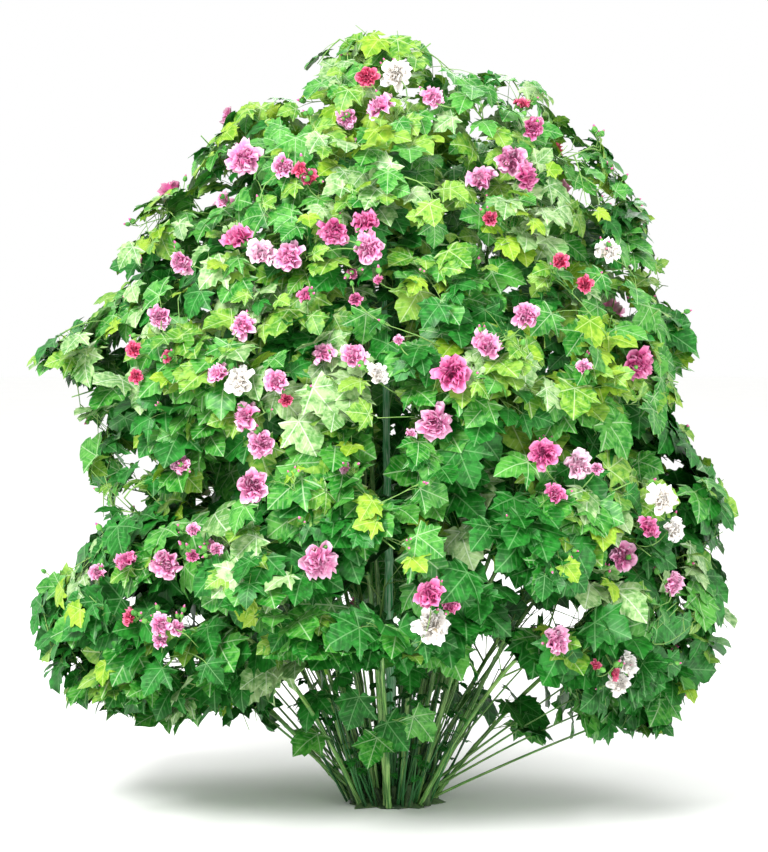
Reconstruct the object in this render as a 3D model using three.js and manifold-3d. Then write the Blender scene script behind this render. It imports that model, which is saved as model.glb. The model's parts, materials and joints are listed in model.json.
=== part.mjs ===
// A double confederate rose, Hibiscus mutabilis in its double form, as a flowering clump.
// Green canes fan out of one woody root crown, and each carries one mass of foliage: twigs with
// broad lobed leaves and double blossom. Millimetres, +Z up, origin on the ground under the main
// stem, +X to the right and -Y to the front of the plant.
import * as THREE from 'three';
import { mergeVertices } from 'three/addons/utils/BufferGeometryUtils.js';
import Module from 'manifold-3d';

const wasm = await Module();
wasm.setup();

// The crown's outline: height above ground, reach to the left and reach to the right. It is a bell
// that drapes to a ragged skirt. Below its top height the skirt is lifted in front and behind, so
// that the canes show.
const outline = [
  [215, 700, 700],
  [310, 1040, 1010],
  [450, 1210, 1160],
  [740, 1335, 1250],
  [960, 1230, 1265],
  [1170, 1150, 1255],
  [1400, 1200, 1130],
  [1640, 1340, 1120],
  [1800, 1080, 1060],
  [2100, 980, 960],
  [2410, 740, 760],
  [2620, 420, 580],
  [2835, 130, 80],
];
const depthShare = 0.87;
const skirtInFront = 610;
const skirtBehind = 470;
const skirtTopHeight = 960;

// The root crown, the main stem and the canes.
const rootCrownRadius = 190;
const rootCrownHeight = 52;
const mainStemRadius = 19;
const mainStemTopRadius = 9;
const caneFootRadius = 9.5;
const caneTopRadius = 8;
const caneFootHeight = 8;
const shootCount = 10;
const shootHeight = 230;
const shootRadius = 8;
const clearance = 0.3;

// Foliage: leaves are larger than life, because they are fewer than on the plant.
const stemTipRadius = 6.5;
const twigRadius = 4.4;
const twigTipRadius = 4;
const twigLength = 430;
const leafLength = 330;
const leafThickness = 5;
const leafDroop = 0.2;
const foldLimit = 0.5;
const leafRootRadius = 1.9;
const stemRings = 3;
const blossomRadius = 62;
const goldenAngle = THREE.MathUtils.degToRad(137.5);
const growthSeed = 1234;
const leafDraw = 500;
const lastSeason = 6;

// Masses of foliage, tier by tier. Height is that of the mass's middle at the plant's sides, lift
// raises it towards the front and back, share is its place between the axis and the outline, rise
// is how far the tip stands over the middle, and foot is where its cane leaves the root crown.
const tiers = [
  { name: 'skirt', count: 8, first: 0, height: 590, lift: 200, share: 0.7, rise: -90, foot: 150, spread: 560, twigs: 6, blossoms: 1 },
  { name: 'low', count: 7, first: 0, height: 1040, lift: 80, share: 0.66, rise: 20, foot: 124, spread: 560, twigs: 6, blossoms: 1 },
  { name: 'middle', count: 7, first: 180, height: 1520, lift: 20, share: 0.64, rise: 120, foot: 94, spread: 560, twigs: 6, blossoms: 2 },
  { name: 'high', count: 5, first: 40, height: 2010, lift: 0, share: 0.54, rise: 430, foot: 64, spread: 540, twigs: 6, blossoms: 2 },
  { name: 'top', count: 1, first: 180, height: 2360, lift: 0, share: 0.06, rise: 430, foot: 0, spread: 500, twigs: 7, blossoms: 2 },
];

const materials = {
  wood: new THREE.MeshStandardMaterial({ color: 0x5d6b3a, roughness: 0.7, metalness: 0 }),
  cane: new THREE.MeshStandardMaterial({ color: 0x4d8a3c, roughness: 0.55, metalness: 0 }),
  leaf: new THREE.MeshStandardMaterial({ color: 0x3f9a3a, roughness: 0.5, metalness: 0 }),
};

const random = THREE.MathUtils.seededRandom;
const between = (low, high) => low + (high - low) * random();

// How far the outline stands from the axis at a height, towards an azimuth from +X.
function reachAt(height, azimuth) {
  const sideways = Math.cos(azimuth) ** 2;
  const lift = (Math.sin(azimuth) < 0 ? skirtInFront : skirtBehind) - outline[0][0];
  const skirt = outline[0][0] + lift * (1 - sideways);
  if (height < skirt || height > outline.at(-1)[0]) return 0;
  const raised = height > skirtTopHeight
    ? height
    : THREE.MathUtils.mapLinear(height, skirt, skirtTopHeight, outline[0][0], skirtTopHeight);
  const above = Math.max(1, outline.findIndex((row) => row[0] >= raised));
  const [low, high] = [outline[above - 1], outline[above]];
  const share = (raised - low[0]) / (high[0] - low[0]);
  const left = THREE.MathUtils.lerp(low[1], high[1], share);
  const right = THREE.MathUtils.lerp(low[2], high[2], share);
  const side = Math.cos(azimuth) < 0 ? left : right;
  return THREE.MathUtils.lerp(depthShare * (left + right) / 2, side, sideways);
}

function polar(azimuth, reach, height) {
  return new THREE.Vector3(Math.cos(azimuth) * reach, Math.sin(azimuth) * reach, height);
}

// One limb from the root crown through the middle of its mass to the mass's tip.
function limbCurve(foot, middle, tip) {
  const t = 0.7;
  const knee = middle.clone()
    .addScaledVector(foot, -((1 - t) ** 2))
    .addScaledVector(tip, -(t ** 2))
    .divideScalar(2 * t * (1 - t));
  return new THREE.QuadraticBezierCurve3(foot, knee, tip);
}

function planMass(tier, index) {
  random(growthSeed + 97 * index);
  const isTop = tier.foot === 0;
  const turn = (index - tier.start) / tier.count + between(-0.1, 0.1) / tier.count;
  const azimuth = THREE.MathUtils.degToRad(tier.first) + 2 * Math.PI * turn;
  const height = tier.height + tier.lift * Math.sin(azimuth) ** 2 + between(-45, 45);
  const middle = polar(azimuth, reachAt(height, azimuth) * tier.share * between(0.96, 1.04), height);
  const tipHeight = height + tier.rise + between(-30, 30);
  const tipReach = isTop ? 60 : reachAt(tipHeight, azimuth) * Math.min(0.9, tier.share + 0.25);
  const tip = polar(azimuth, Math.min(tipReach, Math.hypot(middle.x, middle.y) + 0.62 * tier.spread), tipHeight);
  const foot = isTop ? new THREE.Vector3() : polar(azimuth + between(-0.1, 0.1), tier.foot, caneFootHeight);
  const name = tier.count === 1 ? tier.name : `${tier.name}_${index - tier.start + 1}`;
  return { name, tier, index, isTop, azimuth, middle, tip, curve: limbCurve(foot, middle, tip) };
}

function planMasses() {
  const planned = [];
  for (const tier of tiers) {
    tier.start = planned.length;
    for (let k = 0; k < tier.count; k++) planned.push(planMass(tier, planned.length));
  }
  return planned;
}

const masses = planMasses();

// A mass's own space: nearer to its middle than to any other's, and inside the crown's outline.
function isInSpace(point, mass, margin) {
  const away = point.distanceToSquared(mass.middle);
  if (away > mass.tier.spread ** 2) return false;
  for (const other of masses) {
    if (other === mass) continue;
    const apart = other.middle.distanceTo(mass.middle);
    const toBorder = (point.distanceToSquared(other.middle) - away) / (2 * apart);
    if (toBorder < margin) return false;
  }
  const reach = reachAt(point.z, Math.atan2(point.y, point.x));
  return Math.hypot(point.x, point.y) < reach - margin;
}

// Where a limb enters its mass for good: the limb below is the bough, the limb above is the mass's stem.
function entryShare(mass) {
  const step = 0.01;
  let share = 0.7;
  while (share > 0.2 && isInSpace(mass.curve.getPoint(share - step), mass, 12)) share -= step;
  return share;
}

// A tapering limb along a curve, from a cylinder whose rings are moved onto it.
function limbGeometry(pointAt, tangentAt, sideways, radiusAt, sides, rings) {
  const geometry = new THREE.CylinderGeometry(1, 1, 1, sides, rings);
  const place = geometry.attributes.position;
  const ringPoint = new THREE.Vector3();
  for (let i = 0; i < place.count; i++) {
    const share = place.getY(i) + 0.5;
    const tangent = tangentAt(share);
    const across = sideways.clone().addScaledVector(tangent, -sideways.dot(tangent)).normalize();
    const over = new THREE.Vector3().crossVectors(across, tangent);
    const radius = radiusAt(share);
    ringPoint.copy(pointAt(share))
      .addScaledVector(across, place.getX(i) * radius)
      .addScaledVector(over, place.getZ(i) * radius);
    place.setXYZ(i, ringPoint.x, ringPoint.y, ringPoint.z);
  }
  return geometry;
}

// A point on the straight stretches between the rings of a mass's stem.
function stemPoint(mass, stemStart, along) {
  const ring = Math.min(stemRings - 1, Math.floor(along * stemRings));
  const at = (k) => mass.curve.getPoint(THREE.MathUtils.lerp(stemStart, 1, k / stemRings));
  return at(ring).lerp(at(ring + 1), along * stemRings - ring);
}

// The stretch of a mass's curve between two shares of it, as a tapering limb.
function curveLimb(mass, from, to, radiusAt, sides, rings) {
  const shareAt = (share) => THREE.MathUtils.lerp(from, to, share);
  const sideways = new THREE.Vector3(-Math.sin(mass.azimuth), Math.cos(mass.azimuth), 0);
  return limbGeometry(
    (share) => mass.curve.getPoint(shareAt(share)),
    (share) => mass.curve.getTangent(shareAt(share)),
    sideways, radiusAt, sides, rings,
  );
}

function toSolid(geometry) {
  const bare = new THREE.BufferGeometry()
    .setAttribute('position', geometry.attributes.position.clone())
    .setIndex(geometry.index.clone());
  const merged = mergeVertices(bare, 1e-4);
  return new wasm.Manifold(new wasm.Mesh({
    numProp: 3,
    vertProperties: merged.attributes.position.array,
    triVerts: new Uint32Array(merged.index.array),
  }));
}

// The largest body of a solid: loose scraps and sealed hollows left by joining are dropped.
function toGeometry(solid) {
  const body = solid.decompose().reduce((a, b) => (a.volume() > b.volume() ? a : b));
  const mesh = body.getMesh();
  return new THREE.BufferGeometry()
    .setAttribute('position', new THREE.BufferAttribute(mesh.vertProperties, 3))
    .setIndex(new THREE.BufferAttribute(mesh.triVerts, 1))
    .toNonIndexed();
}

// Whether every edge still has exactly two faces once vertices closer than a hair are one.
function staysClosed(geometry) {
  const merged = mergeVertices(geometry, 5e-4);
  const { array } = merged.index;
  const uses = new Map();
  for (let k = 0; k < array.length; k += 3) {
    const [a, b, c] = [array[k], array[k + 1], array[k + 2]];
    if (a === b || b === c || c === a) continue;
    for (const [from, to] of [[a, b], [b, c], [c, a]]) {
      const key = `${Math.min(from, to)} ${Math.max(from, to)}`;
      uses.set(key, (uses.get(key) ?? 0) + 1);
    }
  }
  return [...uses.values()].every((count) => count === 2);
}

// The main stem's radius at a height: a slow taper over the flare of the root crown.
function mainStemRadiusAt(height, topHeight, extra) {
  const taper = THREE.MathUtils.lerp(mainStemRadius, mainStemTopRadius, height / topHeight);
  const fall = Math.min(1, height / (rootCrownHeight + extra));
  return taper + extra + (rootCrownRadius - mainStemRadius) * Math.sqrt(1 - fall ** 1.6);
}

// The root crown is lobed where old canes stood: rings in the flare bulge and shrink with azimuth.
function lobeShare(azimuth) {
  return 1 + 0.08 * Math.cos(3 * azimuth + 1) + 0.05 * Math.cos(5 * azimuth);
}

// The main stem with its root crown. Extra grows it all round, as a cutter for the canes' feet.
function mainStemGeometry(mass, endShare, extra) {
  const flareRings = 5;
  const shaftRings = 7;
  const rings = flareRings + shaftRings;
  const topHeight = mass.curve.getPoint(endShare).z;
  const heightAt = (share) => {
    const ring = share * rings;
    if (ring <= flareRings) return (rootCrownHeight + extra) * (ring / flareRings);
    return THREE.MathUtils.lerp(rootCrownHeight + extra, topHeight, (ring - flareRings) / shaftRings);
  };
  const geometry = new THREE.CylinderGeometry(1, 1, 1, 11, rings);
  const place = geometry.attributes.position;
  for (let i = 0; i < place.count; i++) {
    const height = heightAt(place.getY(i) + 0.5);
    const centre = mass.curve.getPoint(endShare * (height / topHeight));
    const plain = mainStemRadiusAt(height, topHeight, extra);
    const flare = plain / mainStemRadius > 1.6 ? lobeShare(Math.atan2(-place.getZ(i), place.getX(i))) : 1;
    place.setXYZ(i, centre.x + place.getX(i) * plain * flare, centre.y - place.getZ(i) * plain * flare, height);
  }
  return geometry;
}

// A leaf, alone or at the end of its twig: a three-sided limb that widens into a flat ridged blade.
// Each ring of a blade is a share of the leaf's length along, its half width and how far its edges
// sweep forward. A twig's end leaf has two side lobes, two notches and a pointed tip, and a side
// leaf, mostly hidden by its neighbours, has no notches.
const endBlade = [
  [0.3, 0.56, 0.18],
  [0.62, 0.24, 0],
  [1, 0, 0],
];
const sideBlade = [
  [0.3, 0.52, 0.02],
  [1, 0, 0],
];

function leafGeometry(leaf) {
  const blade = leaf.stalk > 0 ? endBlade : sideBlade;
  const limbRings = leaf.stalk > 0 ? 2 : 1;
  const rings = limbRings + blade.length - 1;
  const geometry = new THREE.CylinderGeometry(0, 1, 1, 3, rings);
  const place = geometry.attributes.position;
  const stalkEnd = leaf.root.clone().addScaledVector(leaf.heading, leaf.stalk);
  const bladeSide = new THREE.Vector3().crossVectors(leaf.along, leaf.facing);
  const stalkFacing = leaf.facing.clone().addScaledVector(leaf.heading, -leaf.facing.dot(leaf.heading)).normalize();
  const stalkSide = new THREE.Vector3().crossVectors(leaf.heading, stalkFacing);
  for (let i = 0; i < place.count; i++) {
    const ring = Math.round((place.getY(i) + 0.5) * rings);
    const side = Math.sign(Math.round(2 * place.getX(i) / Math.max(0.01, 1 - ring / rings)));
    const lift = side === 0 && place.getZ(i) > 0 ? 1 : -0.5;
    const point = new THREE.Vector3();
    if (ring < limbRings) {
      const radius = ring === 0 ? leaf.rootRadius : leaf.endRadius;
      point.copy(ring === 0 ? leaf.root : stalkEnd)
        .addScaledVector(stalkSide, side * 0.87 * radius)
        .addScaledVector(stalkFacing, (place.getZ(i) === 0 ? 0 : lift) * radius);
    } else {
      const [ridgeShare, halfWidth, sweep] = blade[ring - limbRings];
      const along = ridgeShare + Math.abs(side) * sweep;
      const height = halfWidth > 0 ? lift * leafThickness / 1.5 : 0;
      point.copy(stalkEnd)
        .addScaledVector(leaf.along, along * leaf.length)
        .addScaledVector(bladeSide, side * halfWidth * leaf.length)
        .addScaledVector(leaf.facing, height - leafDroop * along ** 2 * leaf.length);
    }
    place.setXYZ(i, point.x, point.y, point.z);
  }
  return geometry;
}

// A double blossom: a flattened globe of eight meridians, every other one pulled in between petals.
const blossomRings = [
  [0, 0.62],
  [0.7, 0.42],
  [1, -0.06],
  [0, -0.5],
];

function blossomGeometry(blossom) {
  const meridians = 8;
  const geometry = new THREE.SphereGeometry(1, meridians, blossomRings.length - 1);
  const place = geometry.attributes.position;
  const side = new THREE.Vector3(-Math.sin(blossom.azimuth), Math.cos(blossom.azimuth), 0);
  const across = side.addScaledVector(blossom.facing, -side.dot(blossom.facing)).normalize();
  const over = new THREE.Vector3().crossVectors(across, blossom.facing);
  for (let i = 0; i < place.count; i++) {
    const [reach, height] = blossomRings[Math.floor(i / (meridians + 1))];
    const turn = 2 * Math.PI * (i % (meridians + 1)) / meridians;
    const petal = i % (meridians + 1) % 2 ? 0.84 : 1;
    const point = blossom.centre.clone()
      .addScaledVector(blossom.facing, height * blossomRadius)
      .addScaledVector(across, -Math.cos(turn) * reach * petal * blossomRadius)
      .addScaledVector(over, Math.sin(turn) * reach * petal * blossomRadius);
    place.setXYZ(i, point.x, point.y, point.z);
  }
  return geometry;
}

// Points along every bough, close enough together to stand for it in a clearance test.
const boughPoints = [];

function recordBough(mass, endShare) {
  const steps = Math.ceil(mass.curve.getLength() * endShare / 10);
  for (let k = 0; k <= steps; k++) {
    const share = k / steps;
    const radius = mass.isTop
      ? THREE.MathUtils.lerp(mainStemRadius, mainStemTopRadius, share)
      : THREE.MathUtils.lerp(caneFootRadius, caneTopRadius, share);
    boughPoints.push({ point: mass.curve.getPoint(share * endShare), radius });
  }
}

function facesClearOfBoughs(geometry) {
  geometry.computeBoundingSphere();
  const { center, radius } = geometry.boundingSphere;
  const near = boughPoints.filter((b) => b.point.distanceTo(center) < radius + 2 * mainStemRadius);
  if (near.length === 0) return true;
  const place = geometry.attributes.position;
  const corner = (k) => new THREE.Vector3().fromBufferAttribute(place, geometry.index.getX(k));
  const nearest = new THREE.Vector3();
  for (let k = 0; k < geometry.index.count; k += 3) {
    const face = new THREE.Triangle(corner(k), corner(k + 1), corner(k + 2));
    for (const bough of near) {
      face.closestPointToPoint(bough.point, nearest);
      if (nearest.distanceTo(bough.point) < bough.radius + 3) return false;
    }
  }
  return true;
}

function fitsSpace(geometry, mass) {
  const place = geometry.attributes.position;
  const corner = new THREE.Vector3();
  for (let i = 0; i < place.count; i++) {
    if (!isInSpace(corner.fromBufferAttribute(place, i), mass, 1.5)) return false;
  }
  return facesClearOfBoughs(geometry);
}

// A straight twig from a point on the stem, cut back until it stays in the mass's space.
function twigFrom(start, heading, wanted, mass) {
  let length = 0;
  while (length < wanted && isInSpace(start.clone().addScaledVector(heading, length + 20), mass, 26)) length += 10;
  return { start, heading, length };
}

function twigGeometry(twig, sides = 3) {
  const sideways = new THREE.Vector3(0, 0, 1).cross(twig.heading).normalize();
  return limbGeometry(
    (share) => twig.start.clone().addScaledVector(twig.heading, share * twig.length),
    () => twig.heading,
    sideways, (share) => THREE.MathUtils.lerp(twigRadius, twigTipRadius, share), sides, 1,
  );
}

// Twigs leave the stem in turn by the golden angle, pitched outwards, longest in the middle.
function growTwigs(mass, stemStart) {
  random(growthSeed + 97 * mass.index + 31);
  const twigs = [];
  const sideways = new THREE.Vector3(-Math.sin(mass.azimuth), Math.cos(mass.azimuth), 0);
  for (let k = 0; k < mass.tier.twigs; k++) {
    const along = 0.93 * (k + 0.7) / mass.tier.twigs;
    const tangent = mass.curve.getTangent(THREE.MathUtils.lerp(stemStart, 1, along));
    const turn = k * goldenAngle + between(-0.3, 0.3);
    const pitch = THREE.MathUtils.degToRad(between(48, 66));
    const over = new THREE.Vector3().crossVectors(sideways, tangent).normalize();
    const heading = tangent.clone().multiplyScalar(Math.cos(pitch))
      .addScaledVector(sideways, Math.cos(turn) * Math.sin(pitch))
      .addScaledVector(over, Math.sin(turn) * Math.sin(pitch))
      .normalize();
    const wanted = twigLength * (1 - 0.45 * along) * between(0.8, 1.1);
    const twig = twigFrom(stemPoint(mass, stemStart, along), heading, wanted, mass);
    if (twig.length > 70 && facesClearOfBoughs(twigGeometry(twig))) twigs.push(twig);
  }
  return twigs;
}

// A leaf hangs out from its stalk: its tip leans outwards and down, its face outwards and up.
function drawLeaf(limb, length) {
  const outwards = new THREE.Vector3(limb.root.x, limb.root.y, 0).normalize();
  const stray = new THREE.Vector3(between(-1, 1), between(-1, 1), between(-1, 1));
  const along = limb.heading.clone().multiplyScalar(0.8)
    .addScaledVector(outwards, 0.25)
    .addScaledVector(stray, 0.4);
  along.z -= 0.5;
  along.normalize();
  const facing = outwards.multiplyScalar(0.9);
  facing.z += 0.55;
  facing.addScaledVector(stray, 0.2).addScaledVector(along, -facing.dot(along)).normalize();
  return { ...limb, along, facing, length };
}

// Of several leaves that don't fold back on their stalks, keep to the mass's space and meet nothing
// else there, the one that hangs furthest from the leaves already placed.
function placeLeaf(limbAt, mass, others, scale) {
  let best = null;
  for (let attempt = 0; attempt < 24; attempt++) {
    const length = leafLength * scale * between(0.85, 1.1) * (1 - 0.012 * attempt);
    const leaf = drawLeaf(limbAt(attempt), length);
    if (leaf.along.dot(leaf.heading) < foldLimit) continue;
    const geometry = leafGeometry(leaf);
    if (!fitsSpace(geometry, mass)) continue;
    leaf.centre = leaf.root.clone()
      .addScaledVector(leaf.heading, leaf.stalk)
      .addScaledVector(leaf.along, 0.5 * leaf.length);
    leaf.room = Math.min(600, ...mass.leafCentres.map((centre) => centre.distanceTo(leaf.centre)));
    leaf.room += 0.3 * Math.hypot(leaf.centre.x, leaf.centre.y);
    if (best && leaf.room <= best.room) continue;
    const solid = toSolid(geometry);
    if (others.every((other) => other.intersect(solid).isEmpty())) best = { ...leaf, solid };
  }
  if (best) mass.leafCentres.push(best.centre);
  return best;
}

// Blossom stands on the ends of the twigs that reach furthest out.
function placeBlossom(twig, mass) {
  const end = twig.start.clone().addScaledVector(twig.heading, twig.length);
  const facing = new THREE.Vector3(end.x, end.y, 0).normalize().addScaledVector(twig.heading, 0.5);
  facing.z += 0.35;
  facing.normalize();
  const centre = end.addScaledVector(facing, 0.3 * blossomRadius);
  const geometry = blossomGeometry({ centre, facing, azimuth: mass.azimuth });
  return fitsSpace(geometry, mass) ? toSolid(geometry) : null;
}

function growSprays(mass, stem, fullTwigs) {
  const twigs = fullTwigs.map((twig) => ({ ...twig }));
  const reachOf = (twig) => {
    const end = twig.start.clone().addScaledVector(twig.heading, twig.length);
    return Math.hypot(end.x, end.y) + 0.5 * end.z;
  };
  const flowering = [...twigs].sort((a, b) => reachOf(b) - reachOf(a)).slice(0, mass.tier.blossoms);
  const limbs = twigs.map((twig) => toSolid(twigGeometry(twig)));
  const parts = [];
  mass.leafCentres = [];
  twigs.forEach((twig) => {
    const blossom = flowering.includes(twig) ? placeBlossom(twig, mass) : null;
    if (blossom) parts.push(blossom);
    twig.flowers = blossom !== null;
  });
  twigs.forEach((twig, k) => {
    if (twig.flowers) return;
    const others = [...parts, ...limbs.filter((limb) => limb !== limbs[k])];
    const limb = { root: twig.start, heading: twig.heading, rootRadius: twigRadius, endRadius: twigTipRadius };
    const leaf = placeLeaf((attempt) => ({ ...limb, stalk: twig.length * (1 - 0.03 * attempt) }), mass, others, 1);
    if (!leaf) return;
    limbs[k] = leaf.solid;
    twig.length = leaf.stalk;
  });
  twigs.forEach((twig, k) => {
    const count = Math.round(twig.length / 112);
    for (let n = 0; n < count; n++) {
      const root = twig.start.clone().addScaledVector(twig.heading, twig.length * (0.92 - 0.84 * n / count));
      const others = [...parts, stem, ...limbs.filter((limb) => limb !== limbs[k])];
      const leaf = placeLeaf((attempt) => sideRoot(root, twig.heading, attempt + n), mass, others, 0.95);
      if (leaf) parts.push(leaf.solid);
    }
  });
  return [...limbs, ...parts];
}

// A side leaf leaves its twig at a steep angle, turned about it afresh on every try.
function sideRoot(root, twigHeading, turns) {
  const side = new THREE.Vector3(0, 0, 1).cross(twigHeading).normalize();
  side.applyAxisAngle(twigHeading, turns * goldenAngle + between(-0.3, 0.3));
  const heading = twigHeading.clone().multiplyScalar(0.5).addScaledVector(side, 0.87).normalize();
  return { root, heading, stalk: 0, rootRadius: leafRootRadius };
}

// A mass's stem with its twigs, leaves and blossom joined to it. The leaves are drawn again in the
// rare season that leaves a sliver too thin to last.
function growMass(mass, entry) {
  const stemStart = entry + clearance / mass.curve.getLength();
  const stemFoot = mass.isTop ? mainStemTopRadius : caneTopRadius;
  const stemRadiusAt = (share) => THREE.MathUtils.lerp(stemFoot, stemTipRadius, share);
  const stem = toSolid(curveLimb(mass, stemStart, 1, stemRadiusAt, 4, stemRings));
  const twigs = growTwigs(mass, stemStart);
  for (let season = 0; season <= lastSeason; season++) {
    random(growthSeed + 97 * mass.index + leafDraw + 7 * season);
    const sprays = growSprays(mass, stem, twigs);
    const geometry = toGeometry(sprays.reduce((joined, piece) => joined.add(piece), stem));
    if (staysClosed(geometry)) return geometry;
  }
  throw new Error(`${mass.name} has no sound season`);
}

function namedMesh(name, geometry, material) {
  const mesh = new THREE.Mesh(geometry, material);
  mesh.name = name;
  return mesh;
}

const plant = new THREE.Group();
const entries = masses.map(entryShare);
masses.forEach((mass, k) => recordBough(mass, entries[k]));

const topMass = masses.find((mass) => mass.isTop);
const topEntry = entries[topMass.index];
const caneCutter = toSolid(mainStemGeometry(topMass, topEntry, clearance));

// Young shoots stand between the feet of the canes, wherever there is room.
function growShoots(rootCrown) {
  random(growthSeed);
  let joined = rootCrown;
  for (let k = 0; k < shootCount; k++) {
    const azimuth = k * goldenAngle + between(-0.3, 0.3);
    const foot = polar(azimuth, between(50, 165), caneFootHeight);
    const heading = polar(azimuth, between(0.08, 0.4), 1).normalize();
    const length = shootHeight * between(0.6, 1.15);
    const geometry = limbGeometry(
      (share) => foot.clone().addScaledVector(heading, share * length),
      () => heading,
      polar(azimuth + Math.PI / 2, 1, 0),
      (share) => shootRadius * (1 - 0.75 * share), 4, 1,
    );
    if (facesClearOfBoughs(geometry)) joined = joined.add(toSolid(geometry));
  }
  return joined;
}

masses.forEach((mass, k) => {
  const radiusAt = (share) => THREE.MathUtils.lerp(caneFootRadius, caneTopRadius, share);
  if (mass.isTop) {
    const stem = growShoots(toSolid(mainStemGeometry(mass, entries[k], 0)));
    plant.add(namedMesh('main_stem', toGeometry(stem), materials.wood));
  } else {
    const cane = toSolid(curveLimb(mass, 0, entries[k], radiusAt, 5, 4)).subtract(caneCutter);
    plant.add(namedMesh(`cane_${mass.name}`, toGeometry(cane), materials.cane));
  }
  plant.add(namedMesh(`foliage_${mass.name}`, growMass(mass, entries[k]), materials.leaf));
});

export default plant;
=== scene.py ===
# A double confederate rose, Hibiscus mutabilis in its double form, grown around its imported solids:
# barked canes on a root crown, twigs, lobed leaves, double blossom and buds.
import json
import math
from functools import partialmethod
import bmesh
import bpy
import numpy as np
from mathutils import Matrix, Vector, noise

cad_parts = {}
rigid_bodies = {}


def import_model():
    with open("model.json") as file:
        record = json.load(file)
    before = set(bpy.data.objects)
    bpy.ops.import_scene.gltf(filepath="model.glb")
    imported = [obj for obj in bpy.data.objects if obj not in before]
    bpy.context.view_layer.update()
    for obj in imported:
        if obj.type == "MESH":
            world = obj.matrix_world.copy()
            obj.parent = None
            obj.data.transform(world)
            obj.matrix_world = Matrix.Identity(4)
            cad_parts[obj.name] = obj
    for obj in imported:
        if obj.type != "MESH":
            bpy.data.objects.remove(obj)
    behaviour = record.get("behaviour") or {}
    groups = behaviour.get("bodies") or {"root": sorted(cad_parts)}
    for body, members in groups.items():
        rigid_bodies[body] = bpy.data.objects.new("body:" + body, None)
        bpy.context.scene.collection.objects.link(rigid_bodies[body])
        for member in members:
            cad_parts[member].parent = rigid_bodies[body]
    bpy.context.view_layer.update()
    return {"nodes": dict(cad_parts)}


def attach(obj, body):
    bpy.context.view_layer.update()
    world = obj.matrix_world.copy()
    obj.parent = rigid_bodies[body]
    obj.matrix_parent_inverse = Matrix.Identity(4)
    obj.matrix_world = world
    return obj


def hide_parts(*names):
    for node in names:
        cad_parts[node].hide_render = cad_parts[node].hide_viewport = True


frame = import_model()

print("frame loaded:", len(frame["nodes"]), "solids")

millimetre = 0.001

# The crown's outline and its limbs, by the same rule and numbers as the solids, in millimetres.
growth = {
    "outline": [  # height above ground, reach to the left, reach to the right
        (215, 700, 700), (310, 1040, 1010), (450, 1210, 1160), (740, 1335, 1250), (960, 1230, 1265),
        (1170, 1150, 1255), (1400, 1200, 1130), (1640, 1340, 1120), (1800, 1080, 1060),
        (2100, 980, 960), (2410, 740, 760), (2620, 420, 580), (2835, 130, 80),
    ],
    "depthShare": 0.87,
    "skirtInFront": 610,
    "skirtBehind": 470,
    "skirtTop": 960,
    "crownFoot": (190, 52),  # the root crown's radius and height
    "mainStem": (19, 9),  # radius at the foot and at the top
    "cane": (9.5, 8),
    "caneFoot": 8,
    "clearance": 0.3,
    "middleAt": 0.7,  # where on its limb a mass's middle is
    "strayTurn": (-0.1, 0.1),
    "strayHeight": (-45, 45),
    "strayReach": (0.96, 1.04),
    "strayTip": (-30, 30),
    "tipShare": (0.9, 0.25),  # of the outline's reach at most, and beyond the middle's share
    "tipSpread": 0.62,
    "topReach": 60,
    "entryRoom": 12,
    "boughStep": 10,
    "twigLength": 430,
    "twigStray": (0.8, 1.1),
    "twigPitch": (48, 66),
    "twigSpan": (0.93, 0.7),  # how far up the stem the twigs stand, and the first one's place
    "twigRoom": 26,
    "shortestTwig": 70,
    "golden": math.radians(137.5),
    "seed": 1234,
}
fullTurn = 6.3  # radians, for a seeded start
farOff = 9999
tierFields = ("name", "count", "first", "height", "lift", "share", "rise", "foot", "spread", "twigs")
tiers = [dict(zip(tierFields, row)) for row in (
    ("skirt", 8, 0, 590, 200, 0.7, -90, 150, 560, 6),
    ("low", 7, 0, 1040, 80, 0.66, 20, 124, 560, 6),
    ("middle", 7, 180, 1520, 20, 0.64, 120, 94, 560, 6),
    ("high", 5, 40, 2010, 0, 0.54, 430, 64, 540, 6),
    ("top", 1, 180, 2360, 0, 0.06, 430, 0, 500, 7),
)]


class Draws:
    # the number stream of the solids, so that the same seed grows the same limbs
    def __init__(self, seed):
        self.state = seed
        self.next()

    def next(self):
        mask = 0xFFFFFFFF
        self.state = (self.state + 0x6D2B79F5) & mask
        t = self.state
        t = (t ^ (t >> 15)) * (t | 1) & mask
        t ^= (t + ((t ^ (t >> 7)) * (t | 61) & mask)) & mask
        return ((t ^ (t >> 14)) & mask) / 4294967296

    def between(self, low, high):
        return low + (high - low) * self.next()


heights, leftReach, rightReach = np.array(growth["outline"], float).T
upwards = np.array([0.0, 0.0, 1.0])


def lerp(a, b, share):
    return a + (b - a) * share


def unit(vector):
    return vector / np.maximum(np.linalg.norm(vector, axis=-1, keepdims=True), 1e-9)


def within(share):
    return min(1, max(0, share))


def polar(azimuth, reach, height):
    return np.array([math.cos(azimuth) * reach, math.sin(azimuth) * reach, height])


def curveAt(foot, knee, tip, share):  # points of a curve from its foot to its tip, drawn to the knee
    return (1 - share) ** 2 * foot + 2 * share * (1 - share) * knee + share ** 2 * tip


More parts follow.
